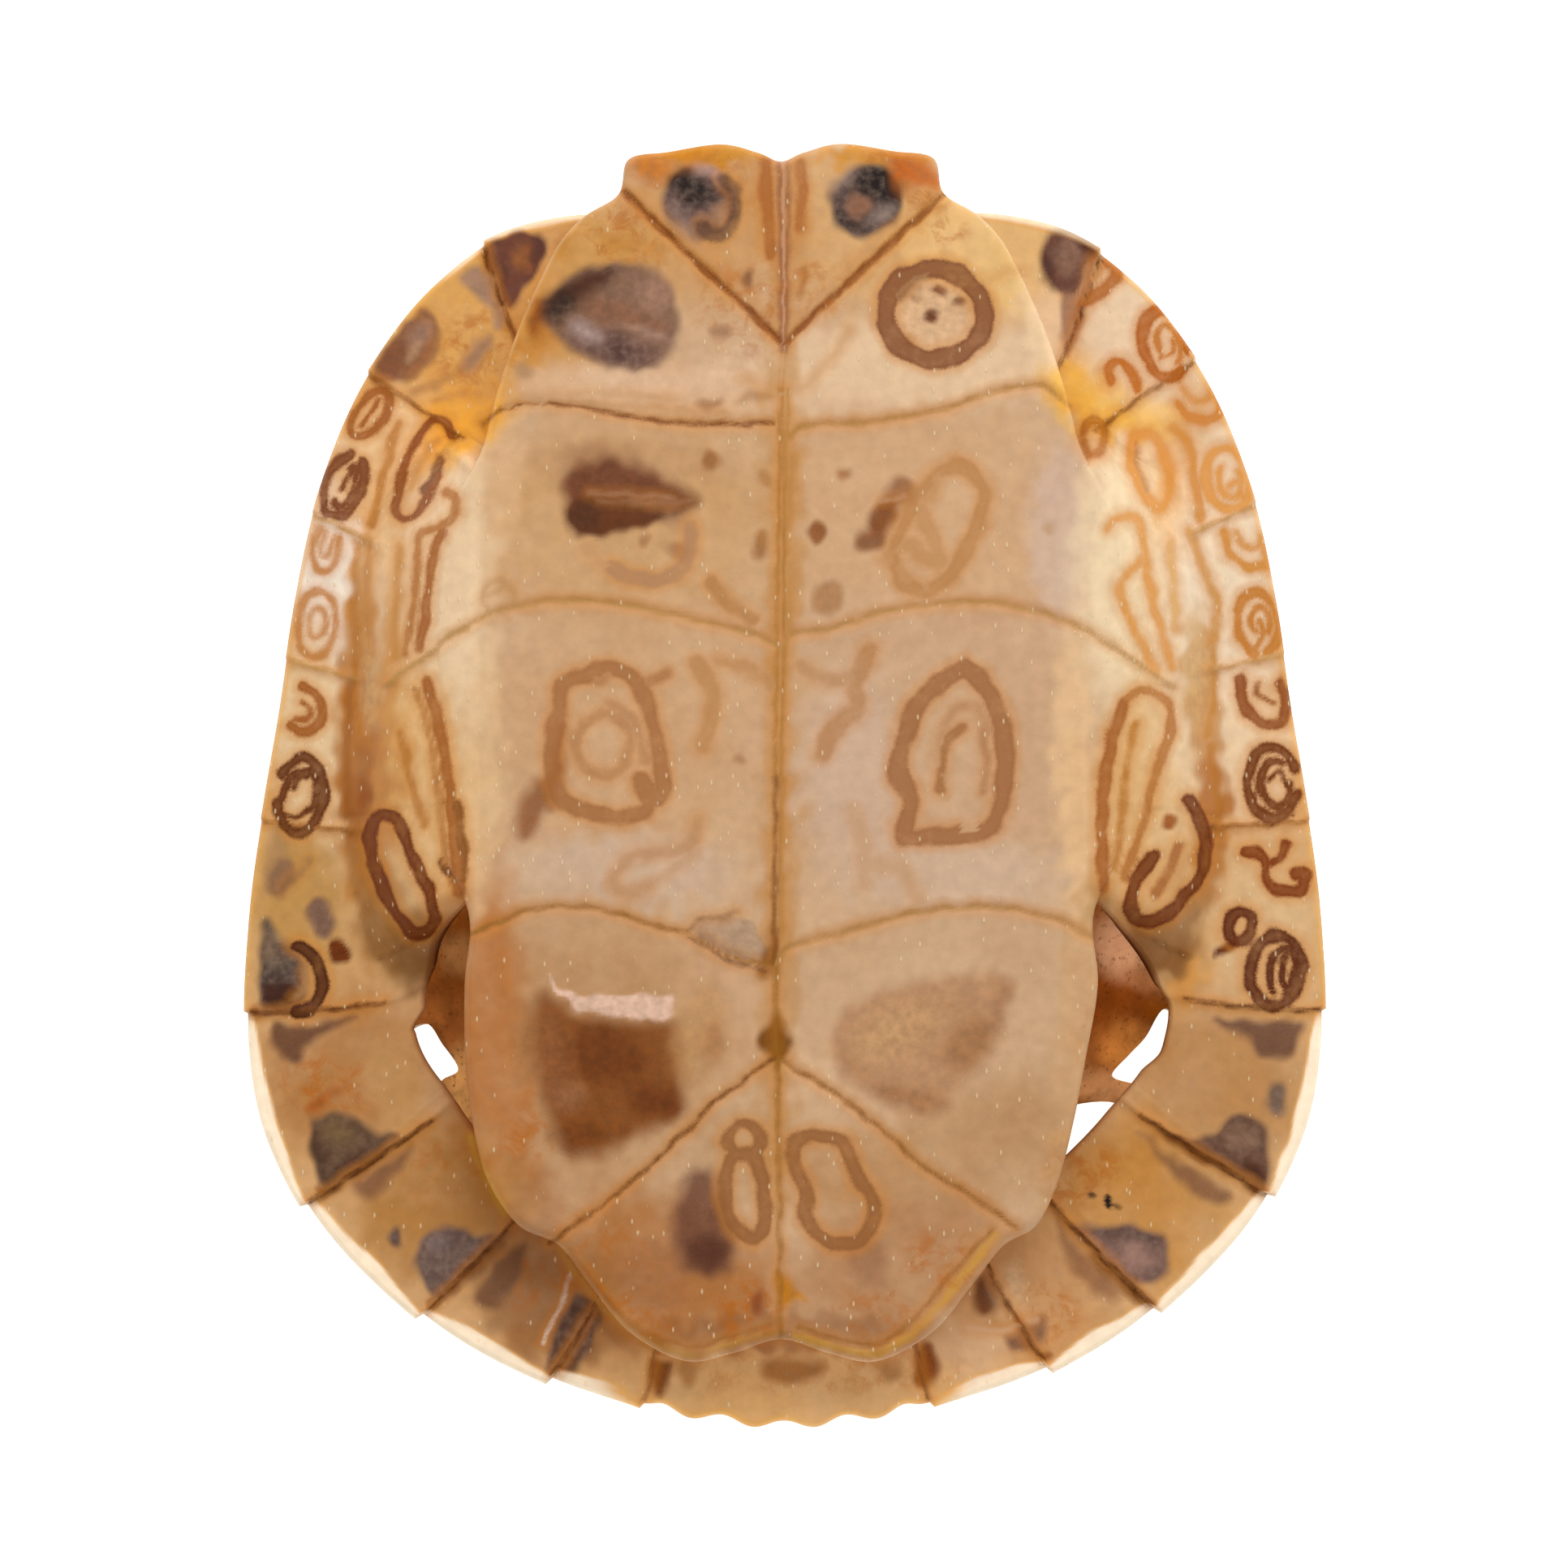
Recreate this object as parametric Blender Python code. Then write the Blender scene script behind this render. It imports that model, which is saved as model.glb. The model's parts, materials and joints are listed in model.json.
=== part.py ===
"""Shell of a young slider turtle, dried, lying on its back.

The domed upper shell (carapace) is below, the flat lower shell (plastron) is on top, and two bridges join
them at the sides. Bone and horn grew together as one piece, so the whole shell is one closed solid.
Metres, +Z up. The head end is +Y, x = 0 is the plane of symmetry, and the dome stands on z = 0.
The shape functions below work in millimetres.
"""

import bmesh
import bpy
import numpy as np
from mathutils import Matrix, Vector

MM = 0.001

# Main sizes, mm.
HEIGHT = 42.0            # from the top of the dome to the plastron
DOME_WALL = 1.9          # bone and horn of the dome
LIP_WALL = 1.8           # underside of the marginal plates and the bridges
PLATE_WALL = 1.9         # plastron
RIM_EDGE = 0.9           # thickness of the free rim
REST_CUT = 0.32          # worn off the top of the dome, which leaves the flat that it stands on
KEEL = 0.6               # height of the ridge along the back, which fades out before the rim
KEEL_WIDTH = 1.5
KEEL_FADE = (1.0, 0.75)
SPINE = 1.3              # height of the backbone inside the dome
SPINE_WIDTH = 2.0
SPINE_FADE = (1.0, 0.8)
SEAM_DEPTH = 0.55        # valleys between the horn plates of the dome: each is a V, twice SEAM_REACH wide
SEAM_REACH = 1.8
SEAM_FADE = (1.0, 0.93)  # shares of the rim radius over which the valleys run out
WORN_BELOW = (0.1, 1.0)  # heights, mm, over which the valleys are worn away near the resting flat

# Each table below runs from the head end (0 degrees) to the tail end (180 degrees), the same left and right.
RIM_RADIUS = ((0, 48.7), (12, 49.6), (21.5, 51.5), (26, 52.0), (34, 51.2), (45, 48.7), (55, 46.1), (68, 43.2),
              (80, 41.9), (90, 42.4), (103.5, 44.8), (116, 48.3), (122, 49.8), (128.5, 50.8), (140, 51.3),
              (152, 51.2), (165, 50.6), (180, 50.7))
RIM_HEIGHT = ((0, 28.0), (30, 28.6), (60, 29.5), (90, 30.0), (110, 31.4), (125, 33.0), (145, 32.8), (160, 32.0),
              (180, 30.6))
FULLNESS = ((0, 0.55), (45, 0.40), (90, 0.30), (110, 0.40), (125, 0.60), (145, 0.75), (180, 0.80))
FLARE = ((0, 0.03), (45, 0.015), (90, 0.0), (110, 0.03), (130, 0.06), (180, 0.06))
FLARE_AT, FLARE_WIDTH = 0.82, 0.12
LIP_INNER = ((0, 41.0), (20, 42.5), (30, 40.6), (34, 38.2), (38, 35.8), (41.5, 33.8), (46, 31.6),
             (51, 29.8), (60, 26.8), (75, 23.9), (90, 23.0), (104, 23.8), (108.5, 25.4), (111.5, 29.0),
             (115, 32.8), (118.5, 35.0), (123, 36.3), (135, 37.0), (145, 37.6), (160, 39.5), (180, 41.0))
BAND_WIDTH = ((0, 10.0), (36, 10.5), (44, 9.1), (50, 6.5), (58.7, 5.0), (74, 5.5), (85, 5.8), (92.7, 6.8),
              (100, 8.2), (112, 11.5), (121, 15.0), (140, 16.0), (180, 12.0))
BAND_RISE = ((0, 0.3), (40, 0.8), (60, 1.5), (90, 1.5), (112, 0.3), (130, -1.2), (180, -0.8))
FOLD_LIMITS = (0.3, 0.75)    # the band takes at least and at most these shares of the lip
INSIDE_CORNER = ((0, 4.2), (10, 4.2), (40, 3.4), (100, 3.4), (130, 5.2), (180, 5.2))
CORNER_STEP = 1.2        # width of the corner where the lip's underside meets the inside of the dome

# Seams between the marginal plates along the rim, degrees: nuchal and first, first and second, and so on.
MARGINAL_SEAMS = (4.0, 17.0, 29.4, 43.9, 58.7, 74.4, 92.7, 112.0, 130.3, 144.7, 156.9, 166.8, 180.0)

# How far the rear corner of each of these plates stands out, and what that is made of: a bulge along the plate,
# a corner at its rear and the sink of its front.
TOOTH = (0.3, 0.7, 0.4, 0.15, 0.1, 0.1, 0.2, 0.8, 1.0, 1.0, 0.8, 0.5)
TOOTH_BULGE, TOOTH_CORNER, TOOTH_SINK = 0.25, 0.75, 0.35
SHINGLE_STEP = 0.6       # rise of a plate's rear end over the front of the next
TAIL_SCALLOP = 0.35
TAIL_SCALLOP_PITCH = 5.0
TAIL_SCALLOP_REACH = 12.0

# Where the bridge starts and ends, degrees, and how far its crown stays below the plastron.
AXILLA = (37.5, 44.5)
GROIN = (107.0, 121.0)
CREASE_X = 24.5
CROWN_DROP = 0.6
WALL_POWER = 1.8         # how soon the bridge's wall flattens as it climbs, and how wide it is at least
WALL_LEAST = 4.0

# Half outline of the plastron, x and y in mm from the front notch to the tail notch.
PLASTRON_CENTRE_Y = 3.0
PLASTRON_OUTLINE = (
    (0.0, 49.6), (4.6, 51.2), (9.0, 50.6), (12.0, 50.0), (12.9, 47.4), (15.6, 45.9), (17.6, 43.8), (19.3, 40.6),
    (21.0, 36.7), (22.3, 32.9), (23.2, 29.6), (24.0, 26.8), (27.3, 20.0), (27.6, 8.0), (27.3, -4.0),
    (24.8, -10.0), (25.1, -15.6), (24.7, -21.6), (24.0, -26.4), (22.8, -31.0), (20.6, -34.6), (17.6, -36.2),
    (15.2, -39.2), (12.0, -43.0), (7.6, -45.3), (3.8, -44.7), (0.0, -43.6),
)
SHOULDER_X = 21.5        # outside this the plate bends down towards the bridge, between these places
SHOULDER_REAR, SHOULDER_FRONT = (-13.0, -3.0), (30.0, 20.0)
SHOULDER_DROP = 0.08

# Seams of the horn plates on the dome, right half, x and y in mm: the zigzag beside the five plates of the
# back, the four seams across them, and the three between the plates of the flank.
DOME_SEAMS = (
    ((7.5, 43.0), (10.5, 35.0), (9.0, 27.5), (12.8, 19.0), (9.5, 9.0), (13.2, -1.0), (9.5, -10.5),
     (12.2, -20.0), (8.0, -29.0), (12.5, -37.0), (14.5, -42.0)),
    ((0.0, 27.0), (9.0, 27.5)),
    ((0.0, 8.6), (9.5, 9.0)),
    ((0.0, -10.2), (9.5, -10.5)),
    ((0.0, -28.6), (8.0, -29.0)),
    ((12.8, 19.0), (22.0, 22.0), (33.0, 23.5)),
    ((13.2, -1.0), (24.0, -1.5), (37.0, -3.0)),
    ((12.2, -20.0), (23.0, -24.0), (33.5, -28.0)),
)
FLANK_EDGE = 0.81        # seam between flank and marginal plates, as a share of the rim radius

# Bony props inside, from the bridge down to the dome: top and bottom ends, mm, and their thickness and width.
PROPS = {
    "front": ((26.8, 23.0, 39.0), (32.6, 22.0, 19.5)),
    "rear": ((27.0, -8.0, 39.0), (33.6, -8.5, 15.5)),
}
PROP_SIZE = (1.4, 4.0)

# Gaps in the bone behind the rim, as outlines in mm: one on the left, two on the right.
GAPS = {
    "gap_left": ((-30.3, -18.2), (-32.3, -20.2), (-29.6, -24.0), (-27.6, -22.4), (-28.9, -20.1)),
    "gap_right_front": ((31.2, -17.6), (32.6, -20.6), (29.6, -24.2), (26.6, -22.0), (28.8, -20.2)),
    "gap_right_back": ((24.6, -24.6), (27.6, -24.8), (28.6, -27.0), (24.6, -30.8), (22.6, -28.6),
                       (23.2, -26.6)),
}
GAP_BOTTOM, GAP_TOP = 6.0, 27.8

# Grid of the carapace: shares of the radius, of the band and of the wall inside it, the way back under both,
# the inside of the dome, and the columns of each marginal plate: bunched at the seams, even, and at the tail.
DOME_ROWS = (0.11, 0.19, 0.28, 0.38, 0.48, 0.58, 0.67, 0.75, 0.81, 0.9, 1.0)
BAND_ROWS = (0.04, 0.35, 0.68, 1.0)
WALL_ROWS = (0.22, 0.48, 0.75, 1.0)
UNDER_WALL_ROWS = (1.0, 0.5, 0.0)
INNER_ROWS = (1.0, 0.8, 0.6, 0.4, 0.2)
PLATE_COLUMNS = (0.04, 0.35, 0.68, 0.97)
EVEN_COLUMNS = (0.125, 0.375, 0.625, 0.875)
TAIL_COLUMNS = (0.14, 0.36, 0.57, 0.79)
SMALL_STEP = 0.1         # mm, for the slope of a section

# Grid of the plastron: shares of the way out, the depth of its rounded edge, and columns in each outline span.
PLATE_ROWS = (0.35, 0.65, 0.86, 0.96)
PLATE_EDGE = (0.85, 0.25)
COLUMNS_PER_SPAN = 2


def through(table, at):
    """Smooth curve through (place, value) pairs: cubic spans that run level into both ends."""
    places, values = np.array(table, float).T
    slopes = np.gradient(values, places)
    slopes[0] = slopes[-1] = 0.0
    at = np.clip(np.asarray(at, float), places[0], places[-1])
    i = np.clip(np.searchsorted(places, at, side="right") - 1, 0, len(places) - 2)
    span = places[i + 1] - places[i]
    t = (at - places[i]) / span
    return ((2 * t**3 - 3 * t**2 + 1) * values[i] + (t**3 - 2 * t**2 + t) * span * slopes[i]
            + (3 * t**2 - 2 * t**3) * values[i + 1] + (t**3 - t**2) * span * slopes[i + 1])


def ease(low, high, at):
    """0 below low, 1 above high, and smooth between them."""
    t = np.clip((at - low) / (high - low), 0.0, 1.0)
    return t * t * (3 - 2 * t)


def distance_to(line, x, y):
    """Distance in plan from points to a line of straight pieces."""
    best = np.full(np.shape(x), 1e9)
    for (ax, ay), (bx, by) in zip(line[:-1], line[1:]):
        dx, dy = bx - ax, by - ay
        t = np.clip(((x - ax) * dx + (y - ay) * dy) / (dx * dx + dy * dy), 0.0, 1.0)
        best = np.minimum(best, np.hypot(x - ax - t * dx, y - ay - t * dy))
    return best


def along_plate(angle):
    """Which marginal plate an angle is on, 0 to 11, and how far along it, 0 to 1 from front to rear."""
    seams = np.array(MARGINAL_SEAMS)
    plate = np.clip(np.searchsorted(seams, angle, side="right") - 1, 0, 11)
    share = np.clip((angle - seams[plate]) / (seams[plate + 1] - seams[plate]), 0.0, 1.0)
    return plate, np.where(angle < seams[0], 0.5, share)


def tooth(angle):
    """Saw profile of the marginal plates: a slight bulge, then a corner that stands out at the rear."""
    plate, share = along_plate(angle)
    return np.array(TOOTH)[plate] * (TOOTH_BULGE * np.sin(np.pi * share) + TOOTH_CORNER * share**3 - TOOTH_SINK)


def rim_radius(angle):
    """Radius of the rim in plan, with the teeth and the small scallops at the tail."""
    base = through(RIM_RADIUS, angle)
    x = base * np.sin(np.radians(angle))
    scallop = -TAIL_SCALLOP * np.cos(2 * np.pi * x / TAIL_SCALLOP_PITCH)
    near_tail = (angle > 90) * (1 - ease(0.8 * TAIL_SCALLOP_REACH, TAIL_SCALLOP_REACH, np.abs(x)))
    return base + tooth(angle) + scallop * near_tail


def dome_height(share, angle):
    """Outer surface of the dome at a share of the rim radius, with its keel and seams."""
    full = through(FULLNESS, angle)
    rise = full * share**2 + (1 - full) * share**4
    flare = np.exp(-((share - FLARE_AT) / FLARE_WIDTH) ** 2) * (1 - share) / (1 - FLARE_AT)
    rise = rise + through(FLARE, angle) * flare
    z = (through(RIM_HEIGHT, angle) - RIM_EDGE) * rise - REST_CUT * (1 - share**2)
    radius = rim_radius(angle) * share
    z = z - KEEL * np.exp(-(radius * np.sin(np.radians(angle)) / KEEL_WIDTH) ** 2) * ease(*KEEL_FADE, share)
    return np.maximum(z, 0.0)


def seam_valley(x, y, z):
    """Depth of the valleys between the horn plates of the dome: a V along each seam."""
    angle = np.degrees(np.arctan2(np.abs(x), y))
    share = np.hypot(x, y) / rim_radius(angle)
    nearest = np.min([distance_to(line, np.abs(x), y) for line in DOME_SEAMS], axis=0)
    nearest = np.minimum(nearest, np.abs(share - FLANK_EDGE) * through(RIM_RADIUS, angle))
    plate, along = along_plate(angle)
    arc = np.radians(np.diff(MARGINAL_SEAMS)[plate]) * through(RIM_RADIUS, angle)
    across_rim = np.where(share < FLANK_EDGE, SEAM_REACH, np.minimum(along, 1 - along) * arc)
    nearest = np.minimum(nearest, across_rim)
    return SEAM_DEPTH * np.maximum(1 - nearest / SEAM_REACH, 0) * ease(*SEAM_FADE, share) * ease(*WORN_BELOW, z)


def lip_height(inward, angle):
    """Upper surface from the rim inwards: the marginal band, then the bridge's wall up to the plastron."""
    band_width = through(BAND_WIDTH, angle)
    fold = through(RIM_RADIUS, angle) - band_width
    crease = np.minimum(CREASE_X / np.maximum(np.sin(np.radians(angle)), 0.1), fold - WALL_LEAST)
    band = through(RIM_HEIGHT, angle) + through(BAND_RISE, angle) * np.clip(inward / band_width, 0, 1)
    plate, share = along_plate(angle)
    band = band + SHINGLE_STEP * np.array(TOOTH)[plate] * (share**3 - TOOTH_BULGE)
    climb = np.clip((inward - band_width) / (fold - crease), 0.0, 1.0)
    wall = (1 - (1 - climb) ** WALL_POWER) * ease(*AXILLA, angle) * ease(GROIN[1], GROIN[0], angle)
    return band + (HEIGHT - CROWN_DROP - band) * wall


def columns(shares, tail_shares):
    """Angles of the grid's columns: a few on each marginal plate, mirrored, from -180 up to 180 degrees."""
    half = [2.0]
    for k in range(12):
        first, last = MARGINAL_SEAMS[k], MARGINAL_SEAMS[k + 1]
        half += [first + s * (last - first) for s in (tail_shares if k == 11 else shares)]
    return np.array([-a for a in reversed(half)] + [0.0] + half + [180.0])


def carapace_rings():
    """Rings of the carapace from the top of the dome, over the rim and lip, back to the inside of the dome.

    At the rim the columns bunch at the seams, to give the teeth their steps. On the dome they are even.
    """
    at_rim, even = columns(PLATE_COLUMNS, TAIL_COLUMNS), columns(EVEN_COLUMNS, EVEN_COLUMNS)
    dome = np.array(DOME_ROWS)[:, None]
    turn = even + (at_rim - even) * ease(0.66, FLANK_EDGE, dome)
    angle = np.abs(turn)
    outer_r, outer_z = rim_radius(angle) * dome, dome_height(dome, angle)

    angle = np.abs(at_rim)
    rim = rim_radius(angle)
    width = rim - through(LIP_INNER, angle)
    fold = np.clip(through(BAND_WIDTH, angle), FOLD_LIMITS[0] * width, FOLD_LIMITS[1] * width)
    inward = np.array([fold * s for s in BAND_ROWS] + [fold + s * (width - fold) for s in WALL_ROWS])
    lip_r, lip_z = rim - inward, lip_height(inward, angle)

    corner = through(INSIDE_CORNER, angle)
    back = np.array([fold + s * (width - fold) for s in UNDER_WALL_ROWS] + [corner])
    slope = (lip_height(back + SMALL_STEP, angle) - lip_height(back - SMALL_STEP, angle)) / (2 * SMALL_STEP)
    size = np.hypot(slope, 1)
    under_r, under_z = rim - back - LIP_WALL * slope / size, lip_height(back, angle) - LIP_WALL / size

    angle = np.abs(even)
    rim = rim_radius(angle)
    inside = np.array(INNER_ROWS)[:, None]
    share = inside * (rim - through(INSIDE_CORNER, angle) + CORNER_STEP) / rim
    step = SMALL_STEP / rim
    slope = (dome_height(share + step, angle) - dome_height(share - step, angle)) / (2 * SMALL_STEP)
    size = np.hypot(slope, 1)
    inner_r, inner_z = rim * share - DOME_WALL * slope / size, dome_height(share, angle) + DOME_WALL / size
    across = inner_r * np.sin(np.radians(angle))
    inner_z = inner_z + SPINE * np.exp(-(across / SPINE_WIDTH) ** 2) * ease(*SPINE_FADE, inside)

    rows = [np.broadcast_to(a, r.shape) for a, r in
            ((turn, outer_r), (at_rim, lip_r), (at_rim, under_r), (even, inner_r))]
    return (np.concatenate([outer_r, lip_r, under_r, inner_r]),
            np.concatenate([outer_z, lip_z, under_z, inner_z]), np.radians(np.concatenate(rows)))


def ball_to_shape(x, y, z, first_pole, last_pole):
    """A UV sphere whose rings are moved to the rows of x, y and z, and its poles to the two points."""
    rows, columns = x.shape
    bm = bmesh.new()
    bmesh.ops.create_uvsphere(bm, u_segments=columns, v_segments=rows + 1, radius=1.0)
    row_of = bm.verts.layers.float.new("row")
    for v in bm.verts:
        ring = round(np.arccos(np.clip(v.co.z, -1, 1)) / np.pi * (rows + 1))
        column = round(np.arctan2(v.co.y, v.co.x) / (2 * np.pi) * columns) % columns
        row = rows - ring
        v[row_of] = row
        if 0 <= row < rows:
            v.co = (x[row, column] * MM, y[row, column] * MM, z[row, column] * MM)
        else:
            v.co = Vector(first_pole if row < 0 else last_pole) * MM
    return bm


def solid(name, bm):
    """A new object from a bmesh, in triangles."""
    bmesh.ops.triangulate(bm, faces=bm.faces)
    mesh = bpy.data.meshes.new(name)
    bm.to_mesh(mesh)
    bm.free()
    return bpy.data.objects.new(name, mesh)


def cut_along(bm, line, side):
    """Adds edges to the outside of the dome along a seam, so that its valley has a sharp bottom."""
    row_of = bm.verts.layers.float["row"]
    for (ax, ay), (bx, by) in zip(line[:-1], line[1:]):
        dx, dy = bx - ax, by - ay
        near = []
        for face in bm.faces:
            if all(v[row_of] < len(DOME_ROWS) for v in face.verts):
                px, py = side * face.calc_center_median().x / MM - ax, face.calc_center_median().y / MM - ay
                along = (px * dx + py * dy) / (dx * dx + dy * dy)
                if -0.05 < along < 1.05 and abs(px * dy - py * dx) / np.hypot(dx, dy) < SEAM_REACH:
                    near.append(face)
        around = {v for f in near for v in f.verts} | {e for f in near for e in f.edges} | set(near)
        bmesh.ops.bisect_plane(bm, geom=list(around), dist=0.05 * MM,
                               plane_co=(side * ax * MM, ay * MM, 0), plane_no=(side * dy, -dx, 0))


def make_carapace():
    """The dome with its rim, marginal band and bridges."""
    radius, z, turn = (rows[:, ::-1] for rows in carapace_rings())
    bm = ball_to_shape(radius * np.sin(turn), radius * np.cos(turn), z, (0, 0, 0),
                       (0, 0, DOME_WALL + SPINE - REST_CUT))
    for line in DOME_SEAMS:
        cut_along(bm, line, 1)
        cut_along(bm, line, -1)
    row_of = bm.verts.layers.float["row"]
    for v in bm.verts:
        if v[row_of] < len(DOME_ROWS):
            v.co.z += float(seam_valley(*(v.co / MM))) * MM
    return solid("shell", bm)


def plastron_outline():
    """Closed outline of the plastron, anticlockwise from the front notch, with smooth spans between points."""
    half = np.array(PLASTRON_OUTLINE)
    whole = np.concatenate([half * (-1, 1), half[-2:0:-1]])
    before, after = np.roll(whole, 1, axis=0), np.roll(whole, -1, axis=0)
    tangent = 0.5 * (after - before)
    points = []
    for t in np.arange(COLUMNS_PER_SPAN) / COLUMNS_PER_SPAN:
        points.append((2 * t**3 - 3 * t**2 + 1) * whole + (t**3 - 2 * t**2 + t) * tangent
                      + (3 * t**2 - 2 * t**3) * after + (t**3 - t**2) * np.roll(tangent, -1, axis=0))
    return np.stack(points, axis=1).reshape(-1, 2).T


def make_plastron():
    """The lower shell as a plate with rounded edges, bent down along the bridges."""
    edge_x, edge_y = plastron_outline()
    shares = np.array(PLATE_ROWS)
    rows = [(s, 1.0) for s in shares] + [(1.0, d) for d in PLATE_EDGE] + [(s, 0.0) for s in shares[::-1]]
    share, depth = np.array(rows).T
    x = share[:, None] * edge_x
    y = PLASTRON_CENTRE_Y + share[:, None] * (edge_y - PLASTRON_CENTRE_Y)
    drop = SHOULDER_DROP * np.maximum(np.abs(x) - SHOULDER_X, 0) ** 2
    z = HEIGHT - drop * ease(*SHOULDER_REAR, y) * ease(*SHOULDER_FRONT, y) - PLATE_WALL * depth[:, None]
    return solid("plastron_union", ball_to_shape(x, y, z, (0, PLASTRON_CENTRE_Y, HEIGHT - PLATE_WALL),
                                                 (0, PLASTRON_CENTRE_Y, HEIGHT)))


def make_prop(name, top, bottom, side):
    """A bony prop: a flattened ball stretched from the bridge down and outwards to the dome."""
    top, bottom = Vector(top), Vector(bottom)
    top.x, bottom.x = side * top.x, side * bottom.x
    along = (top - bottom).normalized()
    across = Vector((0, 1, 0)).cross(along).normalized()
    turn = Matrix((across, along.cross(across), along)).transposed()
    bm = bmesh.new()
    bmesh.ops.create_uvsphere(bm, u_segments=12, v_segments=8, radius=MM)
    bmesh.ops.scale(bm, verts=bm.verts, vec=(*PROP_SIZE, (top - bottom).length / 2))
    prop = bpy.data.objects.new(name, bpy.data.meshes.new(name))
    bm.to_mesh(prop.data)
    bm.free()
    prop.matrix_world = Matrix.LocRotScale((top + bottom) / 2 * MM, turn.to_quaternion(), None)
    return prop


def make_gap(name, outline):
    """A prism of the gap's outline, as a cutter."""
    curve = bpy.data.curves.new(name, "CURVE")
    curve.dimensions = "2D"
    curve.fill_mode = "BOTH"
    curve.extrude = (GAP_TOP - GAP_BOTTOM) / 2 * MM
    spline = curve.splines.new("POLY")
    spline.points.add(len(outline) - 1)
    for point, (x, y) in zip(spline.points, outline):
        point.co = (x * MM, y * MM, 0, 1)
    spline.use_cyclic_u = True
    source = bpy.data.objects.new(name + "_curve", curve)
    bpy.context.scene.collection.objects.link(source)
    bpy.context.view_layer.update()
    mesh = bpy.data.meshes.new_from_object(source.evaluated_get(bpy.context.evaluated_depsgraph_get()))
    bpy.data.objects.remove(source)
    bm = bmesh.new()
    bm.from_mesh(mesh)
    bmesh.ops.remove_doubles(bm, verts=bm.verts, dist=1e-6)
    bmesh.ops.recalc_face_normals(bm, faces=bm.faces)
    bm.to_mesh(mesh)
    bm.free()
    cutter = bpy.data.objects.new(name, mesh)
    cutter.location = (0, 0, (GAP_TOP + GAP_BOTTOM) / 2 * MM)
    return cutter


def horn_and_bone():
    """Dry horn over bone: amber tan, slightly glossy."""
    material = bpy.data.materials.new("horn_and_bone")
    material.use_nodes = True
    shader = material.node_tree.nodes["Principled BSDF"]
    shader.inputs["Base Color"].default_value = (0.62, 0.42, 0.24, 1.0)
    shader.inputs["Roughness"].default_value = 0.42
    shader.inputs["Metallic"].default_value = 0.0
    return material


def main():
    for old in list(bpy.data.objects):
        bpy.data.objects.remove(old)
    part = bpy.data.collections.new("slider_turtle_shell")
    helpers = bpy.data.collections.new("helpers")
    bpy.context.scene.collection.children.link(part)
    bpy.context.scene.collection.children.link(helpers)

    shell = make_carapace()
    shell.data.materials.append(horn_and_bone())
    part.objects.link(shell)

    joined = [make_plastron()]
    for side, word in ((1, "right"), (-1, "left")):
        joined += [make_prop(f"prop_{end}_{word}", *ends, side) for end, ends in PROPS.items()]
    cut = [make_gap(name, outline) for name, outline in GAPS.items()]
    for helper, operation in [(o, "UNION") for o in joined] + [(o, "DIFFERENCE") for o in cut]:
        helpers.objects.link(helper)
        helper.hide_render = True
        helper.display_type = "WIRE"
        boolean = shell.modifiers.new(helper.name, "BOOLEAN")
        boolean.operation = operation
        boolean.solver = "EXACT"
        boolean.object = helper
    for polygon in shell.data.polygons:
        polygon.use_smooth = True


main()
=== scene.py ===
# %% [markdown]
# # The shell of a young slider turtle, dried and seen from below
#
# The real object is one piece: a dome of bone (the carapace) and a flat plate of bone (the plastron),
# joined by a bridge at each side and covered with thin plates of horn. It lies on its back on a light
# table, so that the camera looks down on the plastron.
#
# Every surface here is a function of two parameters, worked out with numpy on a grid. It could also be
# sculpted or subdivided from a cage, but functions keep the measures exact and let the seams follow the
# grid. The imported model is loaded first, because it says how large the shell is and stays behind the looks
# for physics.

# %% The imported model
import json

import bpy
import numpy as np
from mathutils import Matrix, Vector

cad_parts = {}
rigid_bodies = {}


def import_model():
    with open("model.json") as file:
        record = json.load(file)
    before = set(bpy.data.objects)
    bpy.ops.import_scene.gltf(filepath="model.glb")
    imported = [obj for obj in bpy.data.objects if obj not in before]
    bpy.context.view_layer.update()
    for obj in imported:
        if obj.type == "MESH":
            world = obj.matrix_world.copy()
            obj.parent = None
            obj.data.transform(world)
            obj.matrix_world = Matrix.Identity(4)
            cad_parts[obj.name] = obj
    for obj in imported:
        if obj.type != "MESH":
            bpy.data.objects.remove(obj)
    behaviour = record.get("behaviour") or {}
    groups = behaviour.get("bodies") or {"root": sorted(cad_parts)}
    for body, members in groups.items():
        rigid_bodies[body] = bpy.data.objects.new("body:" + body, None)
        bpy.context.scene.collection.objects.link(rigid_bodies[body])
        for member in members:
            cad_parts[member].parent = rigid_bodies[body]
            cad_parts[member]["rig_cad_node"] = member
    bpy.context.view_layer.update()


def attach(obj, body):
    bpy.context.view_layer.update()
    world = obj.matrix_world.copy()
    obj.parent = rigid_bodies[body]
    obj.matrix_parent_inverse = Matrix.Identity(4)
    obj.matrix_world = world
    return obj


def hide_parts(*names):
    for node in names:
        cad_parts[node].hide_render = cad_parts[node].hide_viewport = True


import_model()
MM = 0.001

# %% [markdown]
# ## The camera
#
# The photograph looks almost straight down, leaning a little towards the tail and to the right. A long
# lens at 47 cm keeps the rim and the plastron at nearly the same scale. The camera comes first, because
# the horn's marks are placed by the point of the picture that shows them.

# %% Camera
PIXELS = 1932
DISTANCE = 470.0             # mm
TARGET = np.array([0.0, 1.0, 30.0])
LEAN_TAIL, LEAN_RIGHT = np.radians(3.6), np.radians(1.3)
MM_PER_PIXEL = 0.0662        # at the target's height

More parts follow.
